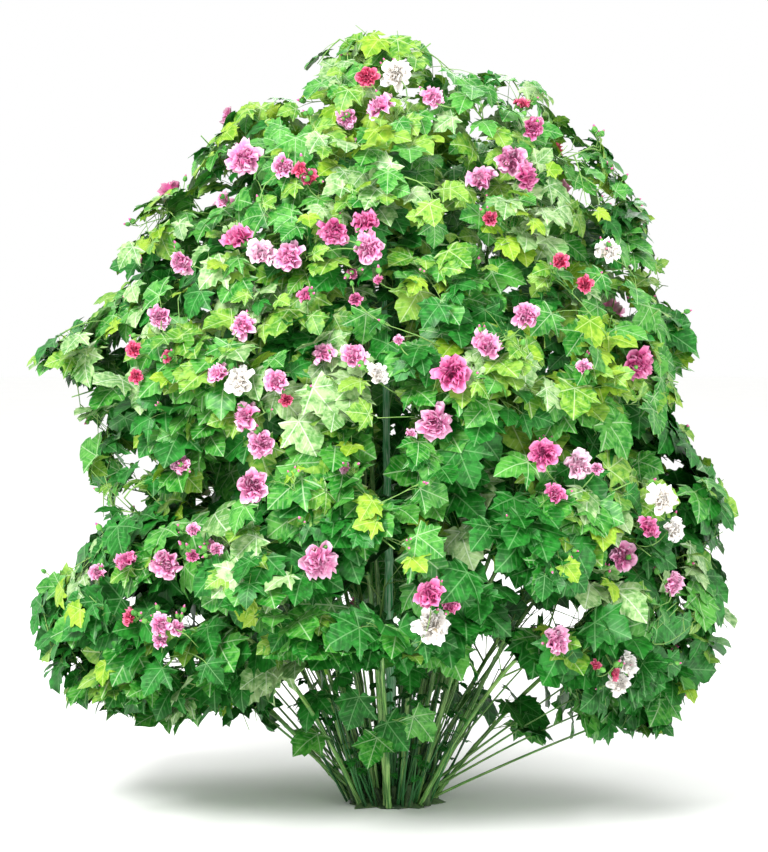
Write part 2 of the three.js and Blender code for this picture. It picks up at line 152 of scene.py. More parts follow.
def reachAt(height, azimuth):  # how far the outline stands from the axis
    sideways = np.cos(azimuth) ** 2
    lift = np.where(np.sin(azimuth) < 0, growth["skirtInFront"], growth["skirtBehind"]) - heights[0]
    skirt = heights[0] + lift * (1 - sideways)
    settle = (growth["skirtTop"] - heights[0]) / (growth["skirtTop"] - skirt)
    raised = np.where(height > growth["skirtTop"], height, heights[0] + (height - skirt) * settle)
    left = np.interp(raised, heights, leftReach)
    right = np.interp(raised, heights, rightReach)
    side = np.where(np.cos(azimuth) < 0, left, right)
    reach = lerp(growth["depthShare"] * (left + right) / 2, side, sideways)
    return np.where((height < skirt) | (height > heights[-1]), 0.0, reach)


class Mass:
    # one limb from the root crown, through the middle of its mass of foliage, to the mass's tip
    def __init__(self, tier, index):
        draws = Draws(growth["seed"] + 97 * index)
        self.tier, self.index, self.isTop = tier, index, tier["foot"] == 0
        number = index - tier["start"]
        turn = number / tier["count"] + draws.between(*growth["strayTurn"]) / tier["count"]
        self.azimuth = math.radians(tier["first"]) + 2 * math.pi * turn
        height = tier["height"] + tier["lift"] * math.sin(self.azimuth) ** 2
        height += draws.between(*growth["strayHeight"])
        reach = reachAt(height, self.azimuth) * tier["share"] * draws.between(*growth["strayReach"])
        self.middle = polar(self.azimuth, reach, height)
        tipHeight = height + tier["rise"] + draws.between(*growth["strayTip"])
        most, beyond = growth["tipShare"]
        outermost = reachAt(tipHeight, self.azimuth) * min(most, tier["share"] + beyond)
        furthest = growth["topReach"] if self.isTop else outermost
        tipReach = min(furthest, reach + growth["tipSpread"] * tier["spread"])
        self.tip = polar(self.azimuth, tipReach, tipHeight)
        self.foot = np.zeros(3)
        if not self.isTop:
            footTurn = self.azimuth + draws.between(*growth["strayTurn"])
            self.foot = polar(footTurn, tier["foot"], growth["caneFoot"])
        t = growth["middleAt"]
        self.knee = (self.middle - self.foot * (1 - t) ** 2 - self.tip * t ** 2) / (2 * t * (1 - t))
        self.name = tier["name"] if tier["count"] == 1 else f"{tier['name']}_{number + 1}"
        self.sideways = polar(self.azimuth + math.pi / 2, 1, 0)

    def point(self, share):
        return curveAt(self.foot, self.knee, self.tip, np.asarray(share, float)[..., None])

    def heading(self, share):
        return unit(lerp(self.knee - self.foot, self.tip - self.knee, share))

    def length(self):
        return np.linalg.norm(np.diff(self.point(np.linspace(0, 1, 201)), axis=0), axis=1).sum()


masses = []
for tier in tiers:
    tier["start"] = len(masses)
    masses += [Mass(tier, tier["start"] + k) for k in range(tier["count"])]
middles = np.array([mass.middle for mass in masses])


def insideOutline(points):  # millimetres from points to the crown's outline, less than nothing outside
    reach = reachAt(points[..., 2], np.arctan2(points[..., 1], points[..., 0]))
    return reach - np.hypot(points[..., 0], points[..., 1])


def insideMass(points, mass):  # millimetres from points to the border of a mass's own space
    away = ((points - mass.middle) ** 2).sum(-1)
    others = ((points[..., None, :] - middles) ** 2).sum(-1)
    apart = np.linalg.norm(middles - mass.middle, axis=1)
    apart[mass.index] = 1
    border = (others - away[..., None]) / (2 * apart)
    border[..., mass.index] = farOff
    border = np.minimum(border.min(-1), insideOutline(points))
    return np.where(away > mass.tier["spread"] ** 2, -farOff, border)


boughPoints, boughRadii = [], []
for mass in masses:  # a limb is a bare bough up to where it enters its mass for good
    mass.entry = growth["middleAt"]
    while mass.entry > 0.2 and insideMass(mass.point(mass.entry - 0.01), mass) >= growth["entryRoom"]:
        mass.entry -= 0.01
    mass.stemStart = mass.entry + growth["clearance"] / mass.length()
    steps = math.ceil(mass.length() * mass.entry / growth["boughStep"])
    shares = np.linspace(0, 1, steps + 1)
    boughPoints.append(mass.point(shares * mass.entry))
    boughRadii.append(lerp(*growth["mainStem" if mass.isTop else "cane"], shares))
boughPoints, boughRadii = np.concatenate(boughPoints), np.concatenate(boughRadii)


def clearOfBoughs(start, end, room):
    along = end - start
    share = np.clip((boughPoints - start) @ along / (along @ along), 0, 1)
    return (np.linalg.norm(boughPoints - start - share[:, None] * along, axis=1) > boughRadii + room).all()


def growTwigs(mass):  # twigs leave the stem in turn by the golden angle, longest in the middle
    draws = Draws(growth["seed"] + 97 * mass.index + 31)
    twigs = []
    span, first = growth["twigSpan"]
    for k in range(mass.tier["twigs"]):
        along = span * (k + first) / mass.tier["twigs"]
        share = lerp(mass.stemStart, 1, along)
        tangent = mass.heading(share)
        turn = k * growth["golden"] + draws.between(-0.3, 0.3)
        pitch = math.radians(draws.between(*growth["twigPitch"]))
        over = unit(np.cross(mass.sideways, tangent))
        turned = mass.sideways * math.cos(turn) + over * math.sin(turn)
        heading = unit(tangent * math.cos(pitch) + turned * math.sin(pitch))
        wanted = growth["twigLength"] * (1 - 0.45 * along) * draws.between(*growth["twigStray"])
        start = mass.point(share)
        length = 0
        while length < wanted and insideMass(start + heading * (length + 20), mass) >= growth["twigRoom"]:
            length += 10
        if length > growth["shortestTwig"] and clearOfBoughs(start, start + heading * length, 6):
            twigs.append((start, heading, length))
    return twigs


for mass in masses:
    mass.twigs = growTwigs(mass)
print("rule regrown:", len(masses), "masses,", sum(len(mass.twigs) for mass in masses), "twigs")

# The camera, at the photo's angle: metres, and degrees above the level.
shot = {"away": 10.0, "elevation": 4.0, "across": -0.029, "height": 1.364, "seen": 2.765, "sensor": 36.0}
lean = math.radians(shot["elevation"])
shotAim = np.array([shot["across"], 0, shot["height"]])
shotPlace = shotAim + shot["away"] * np.array([0, -math.cos(lean), math.sin(lean)])


def seenAt(points):  # where points are seen against the upright plane of the main stem
    away = points * millimetre - shotPlace
    hit = shotPlace + away * (shotPlace[1] / -away[..., 1])[..., None]
    return np.stack([hit[..., 0], hit[..., 2]], -1) / millimetre


# The crown's edge where it turns, read to 5 cm: height, reach to the left and to the right.
frontOutline = [
    (20, 50, 95), (35, 115, 110), (60, 130, 120), (80, 125, 120), (90, 110, 120), (105, 100, 120),
    (120, 110, 120), (130, 110, 110), (145, 115, 100), (160, 130, 105), (170, 120, 110), (180, 100, 100),
    (210, 100, 90), (225, 75, 90), (245, 70, 65), (260, 30, 50), (270, 25, 15), (280, 15, 0),
]
frontUp, frontLeft, frontRight = np.array(frontOutline, float).T * 10


def isInFront(points, slack):  # whether points show inside the outline seen from the front
    seen = seenAt(points)
    left, right = (np.interp(seen[:, 1], frontUp, reach) for reach in (frontLeft, frontRight))
    return ((seen[:, 0] > -left - slack) & (seen[:, 0] < right + slack)).all()


# From here on the limbs are carried to finer shoots, leaves and blossom.
shooting = {
    "perTwig": 5,
    "onStem": 7,
    "length": (130, 235),
    "pitch": (34, 60),
    "towardsLight": 0.22,
    "bend": (-0.12, 0.2),
    "tries": (1, 0.8, 0.62, 0.45),  # of the length wanted
    "overBorder": 60,  # shoots of neighbouring masses mingle this far
    "underOutline": 34,
    "stem": (8, 3.4),  # radii at the start and the end
    "twig": (3.9, 2.1),
    "shoot": (2.1, 1.2),
    "seed": 20,
}


class Limb:
    # a bending limb, as points from its foot to its tip
    def __init__(self, kind, path, radii, mass):
        self.kind, self.path, self.mass = kind, path, mass
        self.radii = lerp(*radii, np.linspace(0, 1, len(path)))
        self.arc = np.concatenate([[0], np.cumsum(np.linalg.norm(np.diff(path, axis=0), axis=1))])
        self.length = self.arc[-1]
        self.tip, self.heading = path[-1], unit(path[-1] - path[-2])
        self.flower = self.parent = None
        self.bears = kind != "shoot"

    def at(self, distance):
        point = np.array([np.interp(distance, self.arc, self.path[:, axis]) for axis in range(3)])
        k = min(np.searchsorted(self.arc, distance, side="right"), len(self.path) - 1)
        return point, unit(self.path[k] - self.path[k - 1])


def bentPath(start, heading, length, bend, count):
    shares = np.linspace(0, 1, count)[:, None]
    return start + heading * length * shares + bend * length * shares ** 2


def squaredTo(along, facing):  # the facing, turned the least way to stand square to a heading
    return unit(facing - along * (facing @ along))


def sideOf(heading, turn):  # a direction square to a heading, turned round it
    across = unit(np.cross(upwards if abs(heading[2]) < 0.9 else np.array([1.0, 0, 0]), heading))
    return across * math.cos(turn) + np.cross(heading, across) * math.sin(turn)


def outwardsOf(point):
    return unit(np.array([point[0], point[1], 0.0]) + 1e-6)


def growShoot(start, parent, turn, wanted, mass, rng):
    pitch = math.radians(rng.uniform(*shooting["pitch"]))
    heading = parent * math.cos(pitch) + sideOf(parent, turn) * math.sin(pitch)
    heading = unit(heading + (outwardsOf(start) + 0.6 * upwards) * shooting["towardsLight"])
    bend = upwards * rng.uniform(*shooting["bend"]) + sideOf(heading, rng.uniform(0, fullTurn)) * 0.08
    for length in wanted * np.array(shooting["tries"]):
        path = bentPath(start, heading, length, bend, 5)
        own = insideMass(path[-1], mass) > -shooting["overBorder"] and isInFront(path[-1:], 0)
        if own and insideOutline(path[-1]) > shooting["underOutline"]:
            return Limb("shoot", path, shooting["shoot"], mass)
    return None


def growLimbs(mass):
    rng = np.random.default_rng(shooting["seed"] + mass.index)
    span = np.linspace(mass.stemStart - 0.004, 1, 14)
    stem = Limb("stem", mass.point(span), shooting["stem"], mass)
    limbs = [stem]
    turn = rng.uniform(0, fullTurn)
    sources = []
    for start, heading, length in mass.twigs:
        bend = upwards * rng.uniform(-0.03, 0.06) + sideOf(heading, rng.uniform(0, fullTurn)) * 0.04
        twig = Limb("twig", bentPath(start, heading - bend, length, bend, 7), shooting["twig"], mass)
        limbs.append(twig)
        count = max(2, round(shooting["perTwig"] * length / 400))
        sources += [(twig, 0.3 + 0.64 * (k + 0.5) / count, 1) for k in range(count)] + [(twig, 1, 0.8)]
    sources += [(stem, 0.2 + 0.75 * k / shooting["onStem"], 1) for k in range(shooting["onStem"])]
    sources.append((stem, 1, 1))
    for limb, share, scale in sources:
        turn += growth["golden"]
        start, heading = limb.at(share * limb.length)
        wanted = rng.uniform(*shooting["length"]) * scale
        shoot = growShoot(start, heading, turn, wanted, mass, rng)
        if shoot:
            limbs.append(shoot)
    return limbs


limbs = [limb for mass in masses for limb in growLimbs(mass)]
print("limbs grown:", len(limbs))

# Long shoots run out to the sprays that stand round the crown in the photo, and to others all
# round, each from the nearest twig. Tips are in centimetres across and up.
reaching = {
    "tips": [
        (-17, 275), (-8, 274), (5, 273), (-30, 266), (22, 262), (39, 262), (50, 257), (60, 242),
        (75, 231), (86, 223), (98, 197), (93, 210), (99, 176), (110, 163), (107, 136), (100, 150),
        (122, 117), (124, 100), (122, 84), (121, 60), (112, 42), (96, 30), (84, 30), (68, 36), (-56, 38),
        (-49, 36), (-104, 134), (-98, 116), (-86, 206), (-49, 250), (-64, 243), (-95, 210), (-132, 62),
        (-126, 55), (-131, 168), (-107, 36), (118, 55), (104, 36), (-123, 67), (-121, 58), (-124, 76),
        (-117, 50), (84, 228), (86, 216), (108, 165), (104, 133), (118, 119), (-88, 196), (-99, 178),
        (-112, 166), (-131, 164), (-122, 158), (-115, 139), (-110, 124), (-104, 112), (-116, 96),
        (-122, 84), (-129, 74), (-128, 60), (-122, 48), (-115, 37), (-101, 33), (-88, 36), (-73, 32),
    ],
    "inwards": [
        (-17, 178), (-13, 184), (-20, 171), (20, 196), (-34, 120), (26, 112), (47, 189), (-73, 179),
        (-2, 188), (15, 79),
    ],
    "depths": (-180, 60),
    "inwardsAt": -0.62,  # of the crown's depth
    "around": 90,
    "heights": (430, 2500),
    "inset": (40, 110),
    "length": (60, 430),
    "sag": (0.05, 0.16),
    "radii": (3.2, 1.2),
    "shy": 46,  # a tip stays this far inside the outline, so that its leaves reach it
    "forks": 2,
    "forkLength": (90, 150),
    "seed": 31,
}


def reachOut(target, rng):
    sources = [limb for limb in limbs if limb.kind in ("twig", "stem")]
    ends = np.array([limb.tip for limb in sources])
    away = np.linalg.norm((ends - target) * (1, 1, 1.3), axis=1)
    limb = sources[np.argmin(away)]
    gap = np.linalg.norm(target - limb.path, axis=1)
    share = np.argmin(gap + 90 * np.linspace(1, 0, len(gap)) ** 2)
    start, length = limb.path[share], gap[share]
    if not reaching["length"][0] < length < reaching["length"][1]:
        return
    straight = unit(target - start)
    sag = upwards * rng.uniform(*reaching["sag"]) * length
    shares = np.linspace(0, 1, 5)[:, None]
    path = start + straight * length * shares + sag * 4 * shares * (1 - shares)
    main = Limb("shoot", path, reaching["radii"], limb.mass)
    limbs.append(main)
    for k in range(reaching["forks"]):
        at, heading = main.at(main.length * (0.45 + 0.3 * k))
        turn, wanted = rng.uniform(0, fullTurn), rng.uniform(*reaching["forkLength"])
        fork = growShoot(at, heading, turn, wanted, limb.mass, rng)
        if fork:
            fork.parent = main
            limbs.append(fork)


def reachAll():
    rng = np.random.default_rng(reaching["seed"])
    for across, height in reaching["tips"]:
        depth = rng.uniform(*reaching["depths"])
        target = np.array([across * 10.0, depth, height * 10.0 + depth * math.tan(lean)])
        for attempt in range(30):
            if insideOutline(target) > reaching["shy"] and isInFront(target[None], 0):
                break
            target[:2] *= 0.97
        reachOut(target, rng)
    for across, height in reaching["inwards"]:
        depth = reaching["inwardsAt"] * float(reachAt(height * 10.0, -math.pi / 2))
        reachOut(np.array([across * 10.0, depth, height * 10.0 + depth * math.tan(lean)]), rng)
    for k in range(reaching["around"]):
        turn = k * growth["golden"]
        height = rng.uniform(*reaching["heights"])
        reach = reachAt(height, turn) - rng.uniform(*reaching["inset"])
        if reach > 200:
            reachOut(polar(turn, float(reach), height), rng)
    print("limbs with long shoots:", len(limbs))


reachAll()

# Where the crown lets the sky through: across, up and radius, in centimetres.
skyWindows = [
    (-38, 259, 4), (-28, 252, 3), (19, 271, 4), (27, 266, 3), (-78, 231, 5), (-70, 239, 3),
    (-100, 190, 3), (-92, 209, 2.5), (-85, 210, 2.5), (-66, 219, 2.5), (-99, 166, 2.5), (-124, 156, 3),
    (-119, 151, 4), (-112, 146, 3), (-105, 139, 2.5), (-89, 134, 1.5), (-95, 124, 2.5), (-88, 124, 2),
    (-114, 113, 5), (-118, 101, 5), (-123, 91, 4), (-92, 109, 4), (-98, 110, 2), (-69, 110, 3),
    (-40, 92, 3), (-42, 184, 2), (-27, 148, 2.5), (-16, 74, 3), (-41, 74, 2.5), (-57, 92, 2),
    (-101, 74, 3), (-95, 74, 2.5), (-114, 52, 2.5), (-67, 68, 3), (-75, 67, 3), (-72, 52, 3),
    (-80, 52, 3), (-88, 53, 2.5), (-36, 54, 2.5), (-52, 57, 2.5), (-66, 26, 5), (-54, 27, 5),
    (-40, 30, 5), (-32, 46, 3), (29, 242, 2.5), (33, 249, 2), (63, 236, 3), (70, 218, 2.5),
    (77, 219, 2.5), (59, 207, 2), (9, 175, 2), (12, 168, 2), (84, 179, 3), (77, 180, 2), (107, 151, 4),
    (104, 141, 2.5), (112, 130, 3.5), (101, 124, 2.5), (121, 99, 3), (116, 92, 2.5), (109, 54, 2.5),
    (36, 84, 3.5), (45, 80, 2), (14, 83, 2.5), (37, 52, 6), (47, 47, 4), (65, 69, 5.5), (49, 65, 3),
    (56, 68, 2.5), (90, 65, 2.5), (98, 65, 2.5), (105, 65, 2), (30, 62, 2.5), (66, 45, 2.5),
    (59, 43, 2.5), (33, 27, 5), (44, 19, 4),
]
# And where the main stem is glimpsed: up and radius.
stemWindows = [
    (190, 2.5), (182, 2.5), (150, 3.5), (143, 4.5), (134, 5), (125, 5), (116, 4.5), (93, 3.5), (85, 3.5),
    (76, 3.5), (67, 2.5),
]
stemPath = masses[-1].point(np.linspace(0, 1, 200))
windowPlaces = np.array(skyWindows, float) * 10
stemUp, stemRadius = np.array(stemWindows, float).T * 10
stemPlaces = np.stack([np.interp(stemUp, stemPath[:, 2], stemPath[:, 0]), stemUp, stemRadius], 1)


def isSky(points):
    seen = seenAt(points)
    places = windowPlaces
    if points[0][1] < 10:  # what hides the main stem stands before it
        places = np.vstack([windowPlaces, stemPlaces])
    return (np.linalg.norm(seen[:, None] - places[:, :2], axis=-1) < places[:, 2]).any()


# Double blossom. The front's stand where they show, in centimetres to the right of the main stem
# and above ground, each on the nearest shoot. The rest are dealt out over the sides and back.
flowering = {
    "front": {  # and each one's share of a grown blossom's radius
        "red": [
            (-9, 261, 0.66), (45, 248, 0.6), (-31, 226, 0.56), (-27, 223, 0.62), (35, 211, 0.5),
            (59, 194, 0.62), (68, 187, 0.64), (-91, 164, 0.56), (-76, 162, 0.52), (-90, 154, 0.54),
            (-37, 145, 0.44), (-91, 67, 0.62), (77, 47, 0.46), (71, 50, 0.42),
        ],
        "rose": [
            (46, 225, 0.84), (48, 243, 0.72), (-54, 202, 0.95), (-19, 207, 0.94), (-9, 208, 0.86),
            (-30, 181, 0.56), (21, 155, 1.0), (55, 125, 0.86), (57, 110, 0.72), (91, 98, 0.74),
            (86, 160, 0.98), (-94, 85, 0.76), (14, 74, 0.92), (21, 72, 0.6), (-12, 181, 0.44),
            (-3, 187, 0.36), (-13, 193, 0.4), (-71, 88, 0.46),
        ],
        "pink": [
            (14, 253, 0.66), (-3, 249, 0.9), (-15, 246, 0.66), (41, 231, 0.98), (32, 223, 0.92),
            (-52, 232, 0.95), (-39, 228, 0.72), (-57, 216, 0.62), (-74, 196, 0.72), (-36, 196, 0.9),
            (-9, 199, 0.92), (-83, 175, 0.76), (-52, 172, 0.78), (48, 175, 0.82), (-62, 153, 0.72),
            (-41, 152, 0.78), (-24, 162, 0.68), (-14, 160, 0.8), (33, 163, 0.92), (15, 139, 1.0),
            (69, 155, 0.58), (-51, 139, 0.86), (-46, 130, 0.76), (-74, 122, 0.64), (-49, 114, 1.0),
            (81, 91, 0.92), (99, 79, 0.86), (-79, 88, 0.98), (-105, 82, 0.6), (-27, 90, 1.05),
            (-82, 63, 0.66), (-76, 64, 0.56), (-82, 58, 0.6), (57, 58, 1.0), (-71, 96, 0.5),
            (-62, 96, 0.5), (-63, 91, 0.48), (-14, 122, 0.42), (74, 119, 0.42), (7, 131, 0.36),
            (3, 165, 0.36),
        ],
        "blush": [(-47, 197, 0.9), (65, 122, 0.92)],
        "white": [
            (1, 262, 0.86), (-6, 154, 0.72), (77, 197, 0.86), (-54, 151, 0.84), (97, 108, 0.86),
            (100, 96, 0.78), (13, 65, 1.0), (82, 50, 0.76), (82, 43, 0.72),
        ],
    },
    "elsewhere": 84,
    "shares": {"red": 0.14, "rose": 0.2, "pink": 0.5, "blush": 0.05, "white": 0.11},
    "apart": 190,
    "reach": 210,
    "drawn": 150,  # how far a blossom may stand aside of its shoot's tip, to be where it shows
    "nearEdge": 330,  # its shoot ends no deeper in the crown than this
    "candidates": 30,
    "depthCost": 0.16,  # shoots further back are taken less readily,
    "behind": (200, 500),  # and beyond this depth they cost that much more
    "forwards": 40,
    "offTip": (28, 26),  # in front and elsewhere
    "step": 12,
    "steps": (20, 10),
    # the other blossoms stand near the edge, off the ground, behind the stem and inside the front's edge
    "besides": {"depth": 170, "height": 480, "back": 100, "inset": 70, "inFront": -60},
    "radius": (64, 70),
    "calyx": 0.62,
    "lowest": 0.35,  # where along its shoot a blossom's stalk may start
    "stalk": (2.2, 2.0),
    "sunk": 46,
    "deepest": 90,
    "halfOpen": 42,  # blossom under this radius is still a cup
    "clearView": (300, 0.88),  # no leaf this far before it, within this share of its radius
    "seed": 7,
    "shapeSeed": 11,
}


class Flower:
    # a blossom with its stalk, which leaves the limb where it is nearest
    def __init__(self, carrier, colour, centre, facing, view, radius):
        self.colour, self.centre, self.radius = colour, centre, radius
        self.facing, self.view = facing, view
        self.root = centre - facing * radius * flowering["calyx"]
        shares = np.linspace(flowering["lowest"], 1, 12)
        starts, headings = zip(*[carrier.at(share * carrier.length) for share in shares])
        gaps = np.linalg.norm(np.array(starts) - self.root, axis=1)
        k = np.argmin(gaps)
        knee = starts[k] + headings[k] * 0.35 * gaps[k] + (self.root - starts[k]) * 0.25
        path = curveAt(starts[k], knee, self.root, np.linspace(0, 1, 5)[:, None])
        self.limb = Limb("shoot", path, flowering["stalk"], carrier.mass)
        self.limb.flower, self.limb.parent = self, carrier
        limbs.append(self.limb)


def flowersInFront(tips, places, taken, rng):  # each where it shows, on the nearest shoot that is free
    seen = seenAt(places)
    towardsCamera = unit(shotPlace)
    behind, extra = flowering["behind"]
    found = []
    spots = [(colour, spot) for colour, row in flowering["front"].items() for spot in row]
    for colour, (across, height, share) in spots:
        spot = np.array([across, height]) * 10.0
        miss = np.linalg.norm(seen - spot, axis=1)
        cost = miss + flowering["depthCost"] * places[:, 1] + np.where(places[:, 1] > behind, extra, 0)
        near = [k for k in np.argsort(cost)[:flowering["candidates"]] if k not in taken]
        near = [k for k in near if miss[k] <= flowering["reach"]]
        if not near:
            continue
        k = near[0]
        move = spot - seen[k]
        move *= min(1, flowering["drawn"] / max(miss[k], 1))
        radius = share * rng.uniform(*flowering["radius"])
        facing = 0.6 * outwardsOf(places[k]) + 0.5 * towardsCamera + 0.42 * rng.normal(size=3)
        facing = unit(facing + 0.3 * upwards)
        if facing[1] > -0.35:  # none turns its back on the front
            facing = unit(facing + 0.8 * towardsCamera)
        centre = places[k] + np.array([move[0], -flowering["forwards"], move[1]])
        centre += facing * flowering["offTip"][0]
        for attempt in range(flowering["steps"][0]):  # it sits in among the outer leaves
            if insideOutline(centre) > flowering["sunk"]:
                break
            centre[1] += flowering["step"]
        for attempt in range(flowering["steps"][1]):
            if insideOutline(centre) < flowering["deepest"]:
                break
            centre[1] -= flowering["step"]
        found.append(Flower(tips[k], colour, centre, facing, towardsCamera, radius))
        taken.add(k)
    return found


def flowersElsewhere(tips, places, taken, others, rng):  # over the sides and back, well apart
    limits = flowering["besides"]
    names, odds = list(flowering["shares"]), list(flowering["shares"].values())
    found = []
    for k in rng.permutation(len(tips)):
        if len(found) >= flowering["elsewhere"]:
            break
        place, outwards, depth = places[k], outwardsOf(places[k]), insideOutline(places[k])
        isOut = place[1] < limits["back"] or depth > limits["depth"] or place[2] < limits["height"]
        if k in taken or isOut or isSky(place[None]):
            continue
        if min(np.linalg.norm(flower.centre - place) for flower in others + found) < flowering["apart"]:
            continue
        facing = unit(outwards + 0.35 * tips[k].heading + 0.3 * rng.normal(size=3) + 0.3 * upwards)
        centre = place + facing * flowering["offTip"][1] - outwards * max(0, limits["inset"] - depth)
        if not isInFront(centre[None], limits["inFront"]):
            continue
        radius = rng.uniform(*flowering["radius"]) * rng.uniform(0.55, 1.05)
        found.append(Flower(tips[k], rng.choice(names, p=odds), centre, facing, facing, radius))
    return found


def placeFlowers():
    rng = np.random.default_rng(flowering["seed"])
    shoots = [limb for limb in limbs if limb.kind == "shoot"]
    tips = [limb for limb in shoots if insideOutline(limb.tip) < flowering["nearEdge"]]
    places, taken = np.array([limb.tip for limb in tips]), set()
    inFront = flowersInFront(tips, places, taken, rng)
    elsewhere = flowersElsewhere(tips, places, taken, inFront, rng)
    print("blossom placed:", len(inFront), "in front,", len(elsewhere), "elsewhere")
    return inFront + elsewhere


flowers = placeFlowers()
flowerCentres = np.array([flower.centre for flower in flowers])
flowerViews = np.array([flower.view for flower in flowers])
flowerRadii = np.array([flower.radius for flower in flowers])


def hidesFlower(points):  # whether a leaf point stands in a blossom or in front of it
    away = points[:, None, :] - flowerCentres
    ahead = np.clip((away * flowerViews).sum(-1), 0, flowering["clearView"][0])
    aside = np.linalg.norm(away - ahead[..., None] * flowerViews, axis=-1)
    return (aside < flowering["clearView"][1] * flowerRadii).any()


# Leaves stand on their stalks in turn by the golden angle, the youngest nearest the shoot's tip.
foliage = {
    "size": (116, 146),  # of a unit blade, so that a grown leaf is 15 to 18 cm long
    "sizeAloft": 0.7,
    "young": 0.5,
    "stalk": (34, 118),
    "firstNode": 8,
    "nodeStep": 30,
    "nodes": {"shoot": 7, "twig": 9, "stem": 10},  # at most
    "tries": 8,
    "apart": 37,
    "ceiling": 2795,
    "hang": 30,
    "overFront": 12,
    "ragged": 105,
    "corners": ((-1322, -1112), (1306, 1114)),
    "turned": 0.34,  # how far leaves turn to the front or the back
    "stalkRadii": (1.9, 1.4, 1.3, 1.5),
    "seed": 90,
    "shapeSeed": 5,
}


class Leaf:
    # a leaf blade's place, directions and size, with the stalk that bears it
    def __init__(self, stalkPath, along, facing, size, kind):
        self.stalkPath, self.along, self.facing, self.size, self.kind = stalkPath, along, facing, size, kind
        self.base = stalkPath[-1]


leafCells = {}


def isCrowded(point):
    cell = tuple((point // foliage["apart"]).astype(int))
    steps = (-1, 0, 1)
    around = [(cell[0] + i, cell[1] + j, cell[2] + k) for i in steps for j in steps for k in steps]
    for key in around:
        for other in leafCells.get(key, ()):
            if np.linalg.norm(other - point) < foliage["apart"]:
                return True
    leafCells.setdefault(cell, []).append(point)
    return False


def keepsInside(points):  # whether leaf points keep to the crown, whose edge comes and goes
    (left, front), (right, back) = foliage["corners"]
    low, high = points.min(axis=0), points.max(axis=0)
    if low[0] < left or low[1] < front or high[0] > right or high[1] > back or high[2] > foliage["ceiling"]:
        return False
    dent = foliage["ragged"] * noise.noise(Vector(points[0] * 0.0052))
    inside = (insideOutline(points + foliage["hang"] * upwards) > dent).all()
    return inside and isInFront(points, foliage["overFront"] - dent)


# The places of a leaf blade that are tested, along it and across it.
bladeTests = np.array([
    (1.04, 0), (0.4, 0.78), (0.4, -0.78), (-0.22, 0.5), (-0.22, -0.5), (0.62, 0.44), (0.62, -0.44),
    (0.1, 0.55), (0.1, -0.55), (0.46, 0), (0.22, 0.3), (0.22, -0.3), (0.76, 0), (-0.1, 0.2), (-0.1, -0.2),
])


def drawLeaf(node, heading, turn, age, rng, keeps=keepsInside):
    outwards = outwardsOf(node)
    side = sideOf(heading, turn)
    for attempt in range(foliage["tries"]):
        stray = rng.uniform(-1, 1, 3)
        stalkHeading = unit(0.55 * heading + 0.8 * side + 0.3 * outwards + 0.25 * upwards + 0.25 * stray)
        stalk = lerp(*foliage["stalk"], age) * rng.uniform(0.8, 1.2) * (1 - 0.12 * attempt)
        shares = np.linspace(0, 1, 4)[:, None]
        stalkPath = node + stalkHeading * stalk * shares
        stalkPath += upwards * stalk * 0.16 * (shares - 1.7 * shares ** 2)
        base = stalkPath[-1]
        aloft = within((base[2] - 500) / 1400)
        droop = rng.uniform(0.25, 0.85) * (0.3 + 0.7 * age) * lerp(1.1, 0.6, aloft)
        along = unit(0.6 * stalkHeading * (1, 1, 0.4) + 0.3 * outwards - droop * upwards + 0.32 * stray)
        facing = lerp(0.85, 0.62, aloft) * outwards + lerp(0.36, 0.78, aloft) * upwards
        facing += 0.4 * rng.uniform(-1, 1, 3)
        facing[1] += math.copysign(foliage["turned"], base[1])
        facing = squaredTo(along, facing)
        size = rng.uniform(*foliage["size"]) * lerp(foliage["young"], 1, age)
        size *= lerp(1, foliage["sizeAloft"], within((base[2] - 1300) / 900))
        across = np.cross(along, facing)
        blade = base + size * (bladeTests[:, :1] * along + bladeTests[:, 1:] * across)
        if not keeps(blade) or hidesFlower(blade) or isSky(blade) or isCrowded(base + along * size * 0.45):
            continue
        return stalkPath, along, facing, size
    return None


def dealColour(limb, rng):  # one kind of green for a whole spray: deep below and inside as painted shade, lime aloft as painted light
    aloft = np.clip((limb.tip[2] - 500) / 1900, 0, 1)
    inside = np.clip(insideOutline(limb.tip) / 420, 0, 1)
    patch = noise.noise(Vector(limb.tip * 0.0022)) + 0.5 * noise.noise(Vector(limb.tip * 0.006))
    # The odds paint light: deep green likelier low down and deep inside the crown as painted shade; fresh,
    # lime and pale likelier aloft, and lime and pale rarer inside, as painted light and painted sheen.
    odds = {
        "deep": 1.9 * (1 - aloft) ** 1.5 + 0.6 * inside,
        "mid": 0.95,
        "fresh": 0.07 + 0.62 * aloft,
        "lime": max(0, 0.02 + 0.4 * aloft ** 1.5 + 1.1 * patch * aloft - 0.5 * inside),
        "pale": max(0.03, 0.1 + 0.34 * aloft - 0.25 * inside),
    }
    kinds = list(odds)
    weights = np.array(list(odds.values()))
    return kinds[rng.choice(len(kinds), p=weights / weights.sum())]


def growLeaves():
    rng = np.random.default_rng(foliage["seed"])
    leaves = []
    for limb in limbs:
        kind = dealColour(limb, rng)
        turn = rng.uniform(0, fullTurn)
        step = foliage["nodeStep"] * (1 if limb.kind == "shoot" else 1.25)
        for k in range(foliage["nodes"][limb.kind]):
            distance = limb.length - foliage["firstNode"] - k * step
            if distance < 0.1 * limb.length:
                break
            if limb.flower and k == 0:
                continue
            node, heading = limb.at(distance)
            turn += growth["golden"]
            age = min(1, (k + 0.4) / 3) if limb.kind == "shoot" else 1
            drawn = drawLeaf(node, heading, turn, age, rng)
            if drawn:
                leafKind = kind
                if k == 0 and kind in ("mid", "fresh", "pale"):
                    leafKind = "lime" if rng.random() < 0.4 else "fresh"
                leaves.append(Leaf(*drawn, leafKind))
                limb.bears = True
    return leaves


